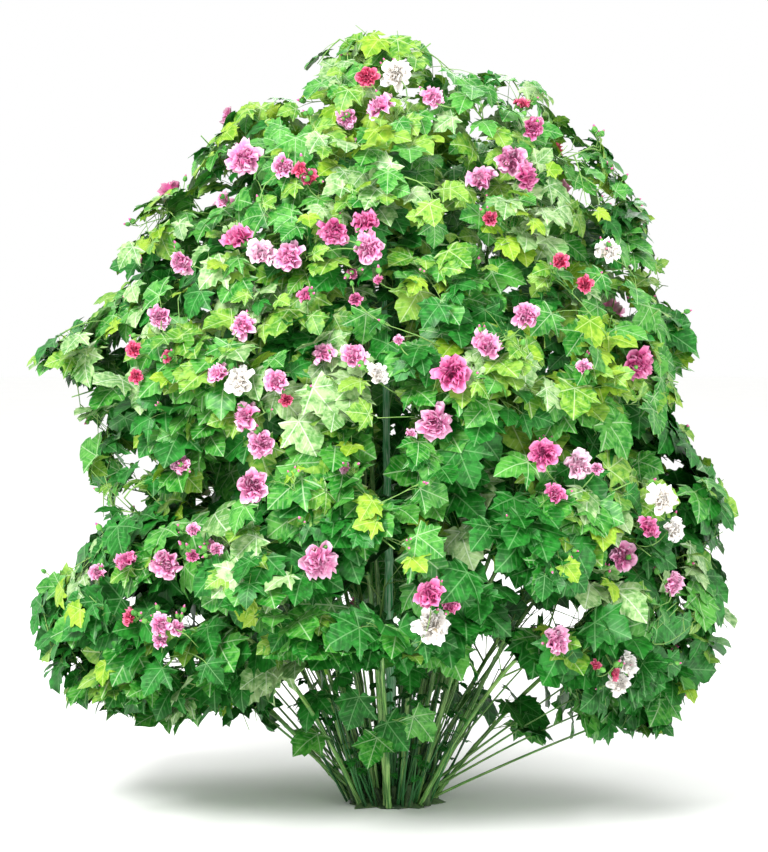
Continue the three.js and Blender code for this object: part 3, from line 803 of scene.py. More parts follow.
leaves = growLeaves()
for limb in reversed(limbs):
    if limb.parent and (limb.bears or limb.flower):
        limb.parent.bears = True
limbs = [limb for limb in limbs if limb.bears or limb.flower]
print("leaves grown:", len(leaves), "on", len(limbs), "limbs")

# Leafy side shoots on the canes, under the skirt.
caneShoots = {
    "perCane": 3,
    "span": (0.34, 0.95),
    "length": (60, 170),
    "radii": (2, 1.2),
    "heights": (230, 640),
    "nodes": 4,
    "floor": 215,
    "aside": 90,
    "reach": 520,
    "seed": 57,
}


def keepsUnderSkirt(points):
    low, wide = points[:, 2].min(), np.hypot(points[:, 0] - caneShoots["aside"], points[:, 1]).max()
    return low > caneShoots["floor"] and wide < caneShoots["reach"]


def growCaneShoots():
    rng = np.random.default_rng(caneShoots["seed"])
    grown = []
    for mass in masses:
        for k in range(caneShoots["perCane"]):
            share = mass.entry * rng.uniform(*caneShoots["span"])
            start, parent = mass.point(share), mass.heading(share)
            if not caneShoots["heights"][0] < start[2] < caneShoots["heights"][1]:
                continue
            turn = rng.uniform(0, fullTurn)
            heading = 0.7 * parent + 0.6 * sideOf(parent, turn) + 0.3 * outwardsOf(start)
            heading = unit(heading - 0.25 * upwards)
            length = rng.uniform(*caneShoots["length"])
            path = bentPath(start, heading, length, -0.15 * upwards, 5)
            limb = Limb("shoot", path, caneShoots["radii"], mass)
            grown.append(limb)
            for n in range(caneShoots["nodes"]):
                node, along = limb.at(length * (1 - n / caneShoots["nodes"]))
                turn += growth["golden"]
                drawn = drawLeaf(node, along, turn, 0.3 + 0.2 * n, rng, keepsUnderSkirt)
                if drawn:
                    # Mostly deep green here: painted shade under the skirt.
                    leaves.append(Leaf(*drawn, "deep" if rng.random() < 0.6 else "mid"))
                    limb.bears = True
    return [limb for limb in grown if limb.bears]


limbs += growCaneShoots()
print("leaves with those on the canes:", len(leaves))


# Shapes are made once with bmesh and laid out many times as arrays.
def shapeOf(bm):
    bm.verts.index_update()
    corners = [loop for face in bm.faces for loop in face.loops]
    layer = bm.loops.layers.uv.active
    shape = {
        "points": np.array([vert.co for vert in bm.verts]),
        "corners": np.array([loop.vert.index for loop in corners]),
        "counts": np.array([len(face.loops) for face in bm.faces]),
        "uvs": np.array([loop[layer].uv for loop in corners]),
    }
    bm.free()
    return shape


def setUvs(bm, placeOf):  # placeOf gives a corner's place on the piece's own map from its point
    layer = bm.loops.layers.uv.verify()
    for face in bm.faces:
        for loop in face.loops:
            loop[layer].uv = placeOf(loop.vert.co)


def copied(shape, points, uvs):  # a shape's faces once for each row of points
    count = len(points)
    return {
        "points": points.reshape(-1, 3),
        "corners": (shape["corners"][None] + np.arange(count)[:, None] * len(shape["points"])).ravel(),
        "counts": np.tile(shape["counts"], count),
        "uvs": uvs.reshape(-1, 2),
    }


def laidOut(shape, origins, axes, sizes):
    spread = np.einsum("kij,nj->kni", axes, shape["points"]) * np.asarray(sizes, float).reshape(-1, 1, 1)
    uvs = np.tile(shape["uvs"], (len(origins), 1, 1))
    return copied(shape, spread + np.asarray(origins)[:, None, :], uvs)


def aroundLimb(shape):  # each point's turn round its limb, and its ring
    turns = np.arctan2(shape["points"][:, 1], shape["points"][:, 0])
    return turns, np.rint(shape["points"][:, 2]).astype(int)


def limbShape(sides, rings, radius=1.0):  # a closed limb of rings a unit apart, to be laid along paths
    bm = bmesh.new()
    bmesh.ops.create_circle(bm, segments=sides, radius=radius, cap_ends=True)
    bmesh.ops.reverse_faces(bm, faces=bm.faces[:])
    edges = bm.edges[:]
    for ring in range(rings):
        made = bmesh.ops.extrude_edge_only(bm, edges=edges)["geom"]
        edges = [part for part in made if isinstance(part, bmesh.types.BMEdge)]
        moved = [part for part in made if isinstance(part, bmesh.types.BMVert)]
        bmesh.ops.translate(bm, verts=moved, vec=(0, 0, 1))
    bmesh.ops.contextual_create(bm, geom=edges)
    bmesh.ops.recalc_face_normals(bm, faces=bm.faces[:])
    setUvs(bm, lambda place: (math.atan2(place.y, place.x) / (2 * math.pi) % 1, place.z))
    for face in bm.faces:  # the seam's faces run up to a full turn
        layer = bm.loops.layers.uv.active
        turns = [loop[layer].uv.x for loop in face.loops]
        if len(face.loops) == 4 and max(turns) - min(turns) > 0.5:
            for loop in face.loops:
                if loop[layer].uv.x < 0.5:
                    loop[layer].uv.x += 1
    return shapeOf(bm)


def alongPaths(shape, paths, radii, bulge=1):  # paths are (limb, ring, xyz), radii (limb, ring)
    paths, radii = np.asarray(paths, float), np.asarray(radii, float)
    tangents = unit(np.gradient(paths, axis=1))
    chords = np.abs(paths[:, -1] - paths[:, 0])
    guides = np.eye(3)[np.argmin(chords, axis=1)][:, None, :]
    across = unit(guides - tangents * (guides * tangents).sum(-1, keepdims=True))
    over = np.cross(tangents, across)
    rings = np.rint(shape["points"][:, 2]).astype(int)
    x, y = shape["points"][:, 0], shape["points"][:, 1]
    spread = across[:, rings] * x[:, None] + over[:, rings] * y[:, None]
    points = paths[:, rings] + spread * (radii[:, rings] * bulge)[..., None]
    steps = np.linalg.norm(np.diff(paths, axis=1), axis=2)
    arcs = np.concatenate([np.zeros((len(paths), 1)), np.cumsum(steps, axis=1)], 1)
    uvs = np.tile(shape["uvs"], (len(paths), 1, 1))
    uvs[..., 1] = arcs[:, np.rint(shape["uvs"][:, 1]).astype(int)] * millimetre
    return copied(shape, points, uvs)


foliageNodes = [f"foliage_{mass.name}" for mass in masses]


def makePiece(name, chunks, finish, nodes=foliageNodes, smooth=True):
    starts = np.cumsum([0] + [len(chunk["points"]) for chunk in chunks[:-1]])
    points = np.concatenate([chunk["points"] for chunk in chunks]) * millimetre
    points[:, 2] = np.maximum(points[:, 2], 0)  # nothing goes below the ground
    corners = np.concatenate([chunk["corners"] + start for chunk, start in zip(chunks, starts)])
    counts = np.concatenate([chunk["counts"] for chunk in chunks])
    mesh = bpy.data.meshes.new(name)
    mesh.vertices.add(len(points))
    mesh.vertices.foreach_set("co", points.ravel())
    mesh.loops.add(len(corners))
    mesh.loops.foreach_set("vertex_index", corners.astype(np.int32))
    mesh.polygons.add(len(counts))
    mesh.polygons.foreach_set("loop_start", np.concatenate([[0], np.cumsum(counts)[:-1]]).astype(np.int32))
    mesh.polygons.foreach_set("use_smooth", np.full(len(counts), smooth))
    mesh.update(calc_edges=True)
    uvs = np.concatenate([chunk["uvs"] for chunk in chunks])
    mesh.uv_layers.new(name="UVMap").uv.foreach_set("vector", uvs.ravel())
    mesh.materials.append(finish)
    mesh.validate()
    piece = bpy.data.objects.new(name, mesh)
    bpy.context.scene.collection.objects.link(piece)
    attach(piece, "root")
    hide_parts(*nodes)
    print("piece", name, "with", int((counts - 2).sum()), "triangles")


# Finishes: shader maths as plain sums, and one method that adds any other node.
class Wire:
    # a value in a finish's node tree
    def __init__(self, finish, socket):
        self.finish, self.socket = finish, socket

    def maths(self, operation, other=None):
        inputs = {0: self} if other is None else {0: self, 1: other}
        return self.finish.add("ShaderNodeMath", {"operation": operation}, inputs)

    def __rsub__(self, other):
        return self.finish.add("ShaderNodeMath", {"operation": "SUBTRACT"}, {0: other, 1: self})

    def ramp(self, low, high):  # 0 below low, 1 above high, smooth between
        inputs = {"Value": self, "From Min": low, "From Max": high}
        return self.finish.add("ShaderNodeMapRange", {"interpolation_type": "SMOOTHSTEP"}, inputs)

    __add__ = __radd__ = partialmethod(maths, "ADD")
    __sub__ = partialmethod(maths, "SUBTRACT")
    __mul__ = __rmul__ = partialmethod(maths, "MULTIPLY")
    __abs__ = partialmethod(maths, "ABSOLUTE")
    least = partialmethod(maths, "MINIMUM")
    most = partialmethod(maths, "MAXIMUM")
    fraction = partialmethod(maths, "FRACT")


def colourOf(code):
    channels = [int(code[k:k + 2], 16) / 255 for k in (1, 3, 5)]
    return tuple(c / 12.92 if c <= 0.04045 else ((c + 0.055) / 1.055) ** 2.4 for c in channels) + (1.0,)


class Finish:
    def __init__(self, name):
        self.material = bpy.data.materials.new(name)
        self.material.use_nodes = True
        self.tree = self.material.node_tree
        self.tree.nodes.clear()

    def add(self, kind, settings=None, inputs=None, output=0):
        node = self.tree.nodes.new(kind)
        for name, value in (settings or {}).items():
            setattr(node, name, value)
        for key, value in (inputs or {}).items():
            socket = node.inputs[key]
            if isinstance(value, Wire):
                self.tree.links.new(value.socket, socket)
            else:
                socket.default_value = value
        return Wire(self, node.outputs[output])

    def ownMap(self):
        place = self.add("ShaderNodeUVMap", {"uv_map": "UVMap"})
        split = self.add("ShaderNodeSeparateXYZ", inputs={0: place})
        return split, Wire(self, split.socket.node.outputs[1])

    def mottle(self, scale, detail=3.0, place=None):
        place = place or self.add("ShaderNodeTexCoord", output=3)
        inputs = {"Vector": place, "Scale": scale, "Detail": detail, "Roughness": 0.55}
        return self.add("ShaderNodeTexNoise", inputs=inputs)

    def blend(self, share, first, second, mode="MIX"):
        settings = {"data_type": "RGBA", "blend_type": mode}
        return self.add("ShaderNodeMix", settings, {0: share, 6: first, 7: second}, output=2)

    def stretched(self, across, along):  # a place on the own map, drawn out into streaks
        u, v = self.ownMap()
        return self.add("ShaderNodeCombineXYZ", inputs={0: u * across, 1: v * along})

    def close(self, colour, roughness, relief, strength, depth, extra=None):
        bump = {"Strength": strength, "Distance": depth, "Height": relief}
        normal = self.add("ShaderNodeBump", inputs=bump)
        inputs = {"Base Color": colour, "Roughness": roughness, "Normal": normal, **(extra or {})}
        surface = self.add("ShaderNodeBsdfPrincipled", inputs=inputs)
        output = self.tree.nodes.new("ShaderNodeOutputMaterial")
        self.tree.links.new(surface.socket, output.inputs["Surface"])
        return self.material


lateralAngle, basalAngle = math.radians(60), math.radians(113)


def leafFinish(name, base, light, vein, gloss):
    finish = Finish(name)
    u, v = finish.ownMap()
    x = abs(u - 0.5) * 2
    y = v * 1.5 - 0.3
    lateral = abs(x * math.cos(lateralAngle) - y * math.sin(lateralAngle))
    basal = abs(x * math.cos(basalAngle) - y * math.sin(basalAngle))
    nearest = x.least(lateral).least(basal)
    veins = 1 - nearest.ramp(0.003, 0.027)
    along = x * math.sin(lateralAngle) + y * math.cos(lateralAngle)
    ofSide = (x - lateral).ramp(-0.004, 0.004)  # the side lobes' veins branch from their own rib
    branch = (y - x * 0.75) * (1 - ofSide) + (along - lateral * 0.75) * ofSide
    side = abs((branch * 6.5).fraction() - 0.5)
    worn = finish.mottle(30.0).ramp(0.38, 0.62)
    sideVeins = (1 - side.ramp(0.02, 0.2)) * (worn * 0.4 + 0.06)
    # Patches of the lighter colour between the veins: painted highlight.
    patches = (finish.mottle(44.0) * 0.6 + finish.mottle(6.0) * 0.4).ramp(0.4, 0.6)
    blade = finish.blend(patches, colourOf(base), colourOf(light))
    # The veins' pale colour: their own paler tone, and partly painted highlight.
    colour = finish.blend(veins.most(sideVeins) * 0.56, blade, colourOf(vein))
    grain = finish.mottle(220.0, 2.0)
    roughness = gloss + grain * 0.16
    relief = grain * 0.25 - veins * 0.5 - sideVeins * 0.4
    return finish.close(colour, roughness, relief, 0.5, 0.0016, {"Specular IOR Level": 0.3})


# Besides their own random tone, these greens serve as lit and shaded greens of one leaf: deep as painted
# shade, fresh and lime as painted light, and pale, with near-white veins, as painted sheen.
leafGreens = {
    "deep": leafFinish("leaf deep green", "#0a560e", "#258026", "#7cb272", 0.34),
    "mid": leafFinish("leaf green", "#187417", "#58a43e", "#c0dcac", 0.34),
    "fresh": leafFinish("leaf fresh green", "#408619", "#8ab642", "#d2e4b0", 0.36),
    "lime": leafFinish("leaf lime", "#649a14", "#98bc34", "#c8dc88", 0.42),
    "pale": leafFinish("leaf pale green painted sheen", "#569040", "#a8c888", "#e8f2da", 0.32),
}

# A leaf: five pointed lobes with a tooth or two, pleated along its veins. Points are on its right
# half, across and along from the stalk, in units of the leaf's size.
bladePoints = {
    "stalk": (0, 0), "sinus": (0, -0.03), "heart": (0.1, -0.19), "hip": (0.29, -0.15),
    "basalTip": (0.5, -0.22), "basalTooth": (0.5, -0.05), "lowNotch": (0.39, 0.05),
    "sideTooth": (0.61, 0.12), "sideDip": (0.6, 0.23), "sideTip": (0.78, 0.4), "shoulder": (0.59, 0.46),
    "shoulderDip": (0.49, 0.41), "highNotch": (0.35, 0.46), "frontTooth": (0.44, 0.64),
    "frontDip": (0.32, 0.7), "frontShoulder": (0.27, 0.84), "tip": (0, 1.04),
    "rib": (0, 0.44), "highRib": (0, 0.76), "sideRib": (0.4, 0.22), "basalRib": (0.26, -0.08),
}
bladePanels = [
    "stalk sinus heart", "stalk heart basalRib", "heart hip basalRib", "hip basalTip basalRib",
    "basalRib basalTip basalTooth", "basalRib basalTooth lowNotch", "stalk basalRib lowNotch",
    "stalk lowNotch sideRib", "lowNotch sideTooth sideRib", "sideTooth sideDip sideRib",
    "sideDip sideTip sideRib", "sideRib sideTip shoulder", "sideRib shoulder shoulderDip",
    "sideRib shoulderDip highNotch", "stalk sideRib highNotch", "stalk highNotch rib",
    "rib highNotch frontTooth", "rib frontTooth frontDip", "rib frontDip highRib",
    "highRib frontDip frontShoulder", "highRib frontShoulder tip",
]
raisedPoints = {
    "lowNotch": 0.09, "highNotch": 0.1, "heart": 0.04, "hip": 0.06, "sideTooth": 0.07, "sideDip": 0.03,
    "shoulder": 0.06, "shoulderDip": 0.07, "basalTooth": 0.04, "frontTooth": 0.08, "frontDip": 0.06,
    "frontShoulder": 0.06,
}


def leafShape(droop, cup, twist, tall, fullness):  # fullness moves the notches out
    bm = bmesh.new()
    verts = {}
    for name, place in bladePoints.items():
        grown = fullness if name in ("lowNotch", "highNotch", "shoulderDip", "frontDip") else 1
        verts[name] = bm.verts.new((place[0] * grown, place[1] * grown, raisedPoints.get(name, 0)))
    for panel in bladePanels:
        bm.faces.new([verts[name] for name in panel.split()])
    whole = bm.verts[:] + bm.edges[:] + bm.faces[:]
    bmesh.ops.mirror(bm, geom=whole, matrix=Matrix.Identity(4), merge_dist=1e-4, axis="X")
    bm.normal_update()
    for face in bm.faces:
        if face.normal.z < 0:
            face.normal_flip()
    setUvs(bm, lambda place: (0.5 + place.x / 2, (place.y + 0.3) / 1.5))
    for vert in bm.verts:
        x, y, z = vert.co
        away = x * x + y * y
        vert.co = (x * (1 - 0.1 * cup), y * tall, z + cup * abs(x) * 0.3 - droop * away + twist * x * y)
    return shapeOf(bm)


leafShapes = [leafShape(*kind) for kind in (
    (0.26, 0.1, 0.1, 1.0, 1.0), (0.4, 0.3, -0.14, 0.96, 1.16), (0.18, -0.25, 0.05, 1.04, 1.1),
    (0.34, 0.55, 0.2, 1.0, 1.2), (0.5, 0.0, -0.05, 0.94, 1.0), (0.1, 0.4, -0.2, 1.05, 1.14),
)]


def laidLeaves(shape, chosen):
    along = np.array([leaf.along for leaf in chosen])
    facing = np.array([leaf.facing for leaf in chosen])
    axes = np.stack([np.cross(along, facing), along, facing], axis=2)
    return laidOut(shape, [leaf.base for leaf in chosen], axes, [leaf.size for leaf in chosen])


def makeLeaves():
    rng = np.random.default_rng(foliage["shapeSeed"])
    picks = rng.integers(0, len(leafShapes), len(leaves))
    for kind, finish in leafGreens.items():
        chunks = []
        for number, shape in enumerate(leafShapes):
            chosen = [leaf for leaf, pick in zip(leaves, picks) if leaf.kind == kind and pick == number]
            if chosen:
                chunks.append(laidLeaves(shape, chosen))
        makePiece(f"leaves_{kind}", chunks, finish)


makeLeaves()


# Green bark, streaked along the limb and dotted with pale pores.
def barkFinish(name, dark, green, streak, gloss, rough=1.0, light=0.7):
    finish = Finish(name)
    streaks = finish.mottle(1.0, 4.0, finish.stretched(14.0, 9.0)).ramp(0.42, 0.62)
    patches = finish.mottle(9.0).ramp(0.35, 0.68)
    poreMap = finish.stretched(22.0, 90.0)
    pores = finish.add("ShaderNodeTexVoronoi", {"feature": "F1"}, {"Vector": poreMap, "Scale": 1.0})
    pores = 1 - pores.ramp(0.08, 0.22)
    body = finish.blend(patches, colourOf(dark), colourOf(green))
    body = finish.blend(streaks * light, body, colourOf(streak))
    colour = finish.blend(pores * 0.4, body, colourOf("#b4d694"))
    grain = finish.mottle(1.0, 5.0, finish.stretched(60.0, 40.0))
    relief = grain * 0.6 * rough + pores * 0.5
    return finish.close(colour, gloss + grain * 0.2, relief, 0.6, 0.0015)


caneBark = barkFinish("cane bark", "#1d5a1c", "#4c9038", "#a9cf7a", 0.34)
# The main stem's bark, much lighter than the canes' and streaked near white: painted light on a stem that
# stands in the crown's shade.
stemBarkPaintedLight = barkFinish("stem bark painted light", "#3aac5e", "#7ed694", "#d8f6d8", 0.46)
# The young shoots' bark, darker than young shoots are: painted shade at the foot under the skirt.
basalBark = barkFinish("young shoot bark", "#0c3f20", "#1f6a32", "#62a658", 0.42, light=0.35)
rootBark = barkFinish("root crown bark", "#17301a", "#35522c", "#66864a", 0.62, rough=1.8, light=0.4)
twigBark = barkFinish("twig bark", "#3f7a2c", "#6ba544", "#b2d478", 0.42)
stalkSkin = barkFinish("leaf stalk", "#5c9c3c", "#86bd55", "#c3dc8b", 0.42)


def makeTwigs():
    shapes = {"stem": limbShape(8, 13), "twig": limbShape(6, 6), "shoot": limbShape(5, 4)}
    chunks = []
    for kind, shape in shapes.items():
        chosen = [limb for limb in limbs if limb.kind == kind]
        chunks.append(alongPaths(shape, [limb.path for limb in chosen], [limb.radii for limb in chosen]))
    makePiece("twigs", chunks, twigBark, foliageNodes)
    paths = [leaf.stalkPath for leaf in leaves]
    stalkRadii = np.array(foliage["stalkRadii"])
    radii = [stalkRadii * lerp(0.7, 1, min(1, leaf.size / 120)) for leaf in leaves]
    chunk = alongPaths(limbShape(3, 3), paths, radii)
    makePiece("leaf_stalks", [chunk], stalkSkin)


makeTwigs()

# Canes and main stem, ring by ring: swollen nodes, a slight zigzag and shield-shaped leaf scars.
barking = {
    "cane": (8.4, 7.2),
    "caneSides": 9,
    "stemSides": 16,
    "firstNode": (40, 90),
    "internode": (78, 128),
    "footRings": (0, 8, 18, 30),
    "nodeRings": (-13, -5, 0, 5, 14, 46),
    "ringsApart": 2.5,
    "swell": 0.17,
    "kink": 1.8,
    "scar": 0.28,
    "collar": 0.6,
    "seed": 300,
}


def barkedLimb(bough, sides, foot, rng):
    length, collar = bough.length, barking["collar"] * foot
    nodes = [rng.uniform(*barking["firstNode"])]
    while nodes[-1] < length - 60:
        step = rng.uniform(*barking["internode"])
        nodes.append(nodes[-1] + step * lerp(0.75, 1.1, nodes[-1] / length))
    nodes = np.array([node for node in nodes if node < length - 8])
    atNodes = (nodes[:, None] + list(barking["nodeRings"])).ravel()
    stations = np.concatenate([[*barking["footRings"], length], atNodes])
    stations = np.unique(stations[(stations >= 0) & (stations <= length)])
    keep = np.concatenate([[True], np.diff(stations) > barking["ringsApart"]])
    keep[-1] = True
    stations = stations[keep]
    path = np.stack([np.interp(stations, bough.arc, bough.path[:, axis]) for axis in range(3)], 1)
    radii = np.interp(stations, bough.arc, bough.radii) * (1 + collar * np.exp(-stations / 18))
    shape = limbShape(sides, len(stations) - 1)
    turns, rings = aroundLimb(shape)
    bulge = np.ones(len(turns))
    for k, node in enumerate(nodes):
        away = stations - node
        near = np.exp(-(away / np.where(away > 0, 8, 5)) ** 2)
        fade = 1 - math.exp(-node / 60)
        radii = radii * (1 + barking["swell"] * near)
        sway = barking["kink"] * fade * np.exp(-(away / 42) ** 2)
        path = path + sideOf(upwards, rng.uniform(0, fullTurn)) * sway[:, None]
        scarTurn = k * growth["golden"]
        scar = barking["scar"] * np.exp(-((away + 2) / 6) ** 2)
        bulge += scar[rings] * np.maximum(0, np.cos(turns - scarTurn)) ** 6
    bulge += 0.03 * np.cos(3 * turns + path[rings, 2] / 80)
    return alongPaths(shape, [path], [radii], bulge[None])


def makeCanes():
    rng = np.random.default_rng(barking["seed"])
    chunks = []
    for mass in masses:
        if mass.isTop:
            continue
        bough = Limb("bough", mass.point(np.linspace(0, mass.entry + 0.004, 60)), barking["cane"], mass)
        chunks.append(barkedLimb(bough, barking["caneSides"], 1, rng))
    nodes = [f"cane_{mass.name}" for mass in masses if not mass.isTop]
    makePiece("canes", chunks, caneBark, nodes)


makeCanes()

# The root crown: a low lobed burl with knuckles and the stubs of old canes.
crowning = {
    "sides": 44,
    "levels": (0, 5, 12, 20, 28, 36, 43, 48, 51),
    "lobes": ((3, 0.08, 1), (5, 0.05, 0), (9, 0.04, 2), (14, 0.025, 0.5)),
    "within": 0.84,
    "burl": 0.2,
    "stubs": 34,
    "stubReach": (40, 165),
    "stubHeight": (30, 90),
    "stubRadius": (8, 15),
    "seed": 41,
}


def rootCrown():
    radius, height = growth["crownFoot"]
    levels = np.array(crowning["levels"], float)
    radii = growth["mainStem"][0] + (radius - growth["mainStem"][0]) * (1 - (levels / height) ** 1.3)
    shape = limbShape(crowning["sides"], len(levels) - 1)
    turns, rings = aroundLimb(shape)
    lobes = sum(depth * np.cos(count * turns + shift) for count, depth, shift in crowning["lobes"])
    bulge = crowning["within"] + lobes
    path = levels[:, None] * upwards
    places = [(math.cos(t) * 3, math.sin(t) * 3, levels[r] * 0.05) for t, r in zip(turns, rings)]
    burl = [noise.noise(Vector(place)) for place in places]
    bulge += crowning["burl"] * np.array(burl)
    return alongPaths(shape, [path], [radii], bulge[None])


def makeMainStem():
    rng = np.random.default_rng(crowning["seed"])
    top = masses[-1]
    bough = Limb("bough", top.point(np.linspace(0, top.entry + 0.004, 80)), growth["mainStem"], top)
    stem = barkedLimb(bough, barking["stemSides"], 1.4, rng)
    makePiece("main_stem", [stem], stemBarkPaintedLight, ["main_stem"])
    chunks = [rootCrown()]
    stub = limbShape(9, 5)
    for k in range(crowning["stubs"]):
        turn = k * growth["golden"] + rng.uniform(-0.2, 0.2)
        reach = rng.uniform(*crowning["stubReach"])
        start = polar(turn, reach, 11)
        heading = unit(polar(turn, rng.uniform(0.1, 0.5), 1))
        length = rng.uniform(*crowning["stubHeight"])
        path = bentPath(start, heading, length, sideOf(heading, rng.uniform(0, 6)) * 0.1, 6)
        radii = rng.uniform(*crowning["stubRadius"]) * np.array([1.7, 1.15, 1, 1.02, 1.08, 0.9])
        chunks.append(alongPaths(stub, [path], [radii]))
    makePiece("root_crown", chunks, rootBark, ["main_stem"])


makeMainStem()

# Double blossom: rings of broad petals, the innermost crumpled into the heart. A flower's radius is 1.
petalRings = [  # count, length, width, tilt at the foot and at the rim in degrees, ruffle
    (6, 1.04, 0.74, 52, 104, 0.14),
    (7, 0.94, 0.6, 36, 84, 0.2),
    (8, 0.84, 0.48, 22, 62, 0.26),
    (8, 0.72, 0.38, 10, 42, 0.28),
    (6, 0.58, 0.3, 2, 24, 0.26),
]


def addPetal(bm, layer, length, width, tilts, ruffle, turn, rng):
    rim = 0.45 + 0.55 * min(1, length)
    verts = bmesh.ops.create_grid(bm, x_segments=4, y_segments=3, size=0.5)["verts"]
    for face in {face for vert in verts for face in vert.link_faces}:
        for loop in face.loops:
            loop[layer].uv = (loop.vert.co.x + 0.5, (loop.vert.co.y + 0.5) * rim)
    skew, wave = rng.uniform(-0.12, 0.12), rng.uniform(0, fullTurn)
    for vert in verts:
        side, share = 2 * vert.co.x, vert.co.y + 0.5
        swell = 0.28 + 0.72 * math.sin(math.pi * min(1, share / 0.72) / 2)
        half = 0.5 * width * swell * (1 - 0.22 * max(0, share - 0.66) * 3)
        reachAlong = share - 0.13 * side * side * share ** 2
        along = height = 0
        for k in range(8):
            tilt = math.radians(lerp(*tilts, (k + 0.5) / 8 * reachAlong))
            along += math.sin(tilt) * reachAlong / 8
            height += math.cos(tilt) * reachAlong / 8
        tilt = math.radians(lerp(*tilts, reachAlong))
        wrinkle = math.sin(wave + 4.4 * side + 3 * share) + rng.uniform(-0.6, 0.6)
        lift = 0.14 * side * side * width + ruffle * share * wrinkle
        out = length * along - math.cos(tilt) * lift + 0.03
        up = length * height + math.sin(tilt) * lift
        vert.co = (out, side * half + skew * share * length, up)
    bmesh.ops.rotate(bm, verts=verts, cent=(0, 0, 0), matrix=Matrix.Rotation(turn, 3, "Z"))


def blossomShape(seed, openness):
    rng = np.random.default_rng(seed)
    bm = bmesh.new()
    layer = bm.loops.layers.uv.verify()
    for number, (count, length, width, low, high, ruffle) in enumerate(petalRings):
        for k in range(count):
            turn = 2 * math.pi * (k + 0.5 * (number % 2)) / count + rng.uniform(-0.24, 0.24)
            tilts = (low * openness, high * openness + rng.uniform(-18, 16))
            size = (length * rng.uniform(0.82, 1.1), width * rng.uniform(0.8, 1.15))
            addPetal(bm, layer, *size, tilts, ruffle, turn, rng)
    bmesh.ops.translate(bm, verts=bm.verts[:], vec=(0, 0, -0.3))
    return shapeOf(bm)


def calyxShape():  # five sepals under the petals
    bm = bmesh.new()
    bmesh.ops.create_cone(bm, cap_ends=True, segments=10, radius1=0.07, radius2=0.3, depth=0.3)
    for vert in bm.verts:
        if vert.co.z > 0:
            isTip = round(math.atan2(vert.co.y, vert.co.x) / (math.pi / 5)) % 2 == 0
            vert.co *= 1.5 if isTip else 0.75
        vert.co.z -= 0.36
    setUvs(bm, lambda place: (place.x + 0.5, place.z + 0.7))
    return shapeOf(bm)


def petalFinish(name, heart, body, rim, vein):
    finish = Finish(name)
    u, v = finish.ownMap()
    streakMap = finish.add("ShaderNodeCombineXYZ", inputs={0: u * 16, 1: v * 1.6})
    streaks = finish.mottle(1.0, 3.0, streakMap)
    wash = finish.mottle(38.0)
    # From the heart colour at each petal's foot to the rim colour at its edge: the darker heart is partly
    # painted shade in the blossom's middle and the pale rim partly painted highlight, besides the petals' own
    # colour; the white one's yellow heart is its own.
    share = v + (wash - 0.5) * 0.3
    colour = finish.blend(share.ramp(0.12, 0.6), colourOf(heart), colourOf(body))
    colour = finish.blend(share.ramp(0.62, 1.05), colour, colourOf(rim))
    veins = streaks.ramp(0.5, 0.68) * (1 - v.ramp(0.5, 1.1))
    colour = finish.blend(veins * 0.45, colour, colourOf(vein))
    relief = streaks * 0.7 + wash * 0.3
    return finish.close(colour, 0.5 + wash * 0.15, relief, 0.3, 0.001)


petals = {
    "red": petalFinish("petals rose red", "#b01a4c", "#de3c70", "#f288a8", "#a81448"),
    "rose": petalFinish("petals deep rose", "#b42e74", "#da5a9c", "#f2a4cb", "#ac2a6c"),
    "pink": petalFinish("petals pink", "#cc4f94", "#ea8cc0", "#fad0e6", "#c84c8c"),
    "blush": petalFinish("petals blush", "#dc80ac", "#f4c0da", "#fde8f2", "#d87aa6"),
    "white": petalFinish("petals white", "#f4cf58", "#fbf6ee", "#fefdfe", "#eee6d8"),
}
sepalSkin = leafFinish("sepals", "#3f8a34", "#6bb04c", "#a9d382", 0.48)

# How far each shape is open: the last is still a cup.
blossomShapes = [blossomShape(k + 1, openness) for k, openness in enumerate((1.0, 0.9, 0.78, 1.08, 0.62))]


def axesTowards(facings, turns):
    facings = np.asarray(facings, float)
    guides = np.where(np.abs(facings[:, 2:]) < 0.9, upwards, np.array([1.0, 0, 0]))
    across = unit(np.cross(guides, facings))
    over = np.cross(facings, across)
    cosine, sine = np.cos(turns)[:, None], np.sin(turns)[:, None]
    return np.stack([across * cosine + over * sine, over * cosine - across * sine, facings], axis=2)


def makeBlossom():
    rng = np.random.default_rng(flowering["shapeSeed"])
    turns = rng.uniform(0, fullTurn, len(flowers))
    picks = rng.integers(0, len(blossomShapes) - 1, len(flowers))
    picks[flowerRadii < flowering["halfOpen"]] = len(blossomShapes) - 1
    axes = axesTowards([flower.facing for flower in flowers], turns)
    for colour, finish in petals.items():
        chunks = []
        for number, shape in enumerate(blossomShapes):
            chosen = [k for k, flower in enumerate(flowers) if flower.colour == colour and picks[k] == number]
            if chosen:
                origins = [flowers[k].centre for k in chosen]
                chunks.append(laidOut(shape, origins, axes[chosen], [flowers[k].radius for k in chosen]))
        makePiece(f"blossom_{colour}", chunks, finish)
    return axes


flowerAxes = makeBlossom()

# Buds stand in twos and threes by the blossom and on other shoots' tips, each in its green sepals.
budding = {
    "nearEdge": 260,
    "bare": 0.16,
    "byFlower": 0.75,
    "size": (8, 12),
    "stalk": (16, 38),
    "stalkRadius": 1.7,
    "pink": 0.8,
    "seed": 66,
}


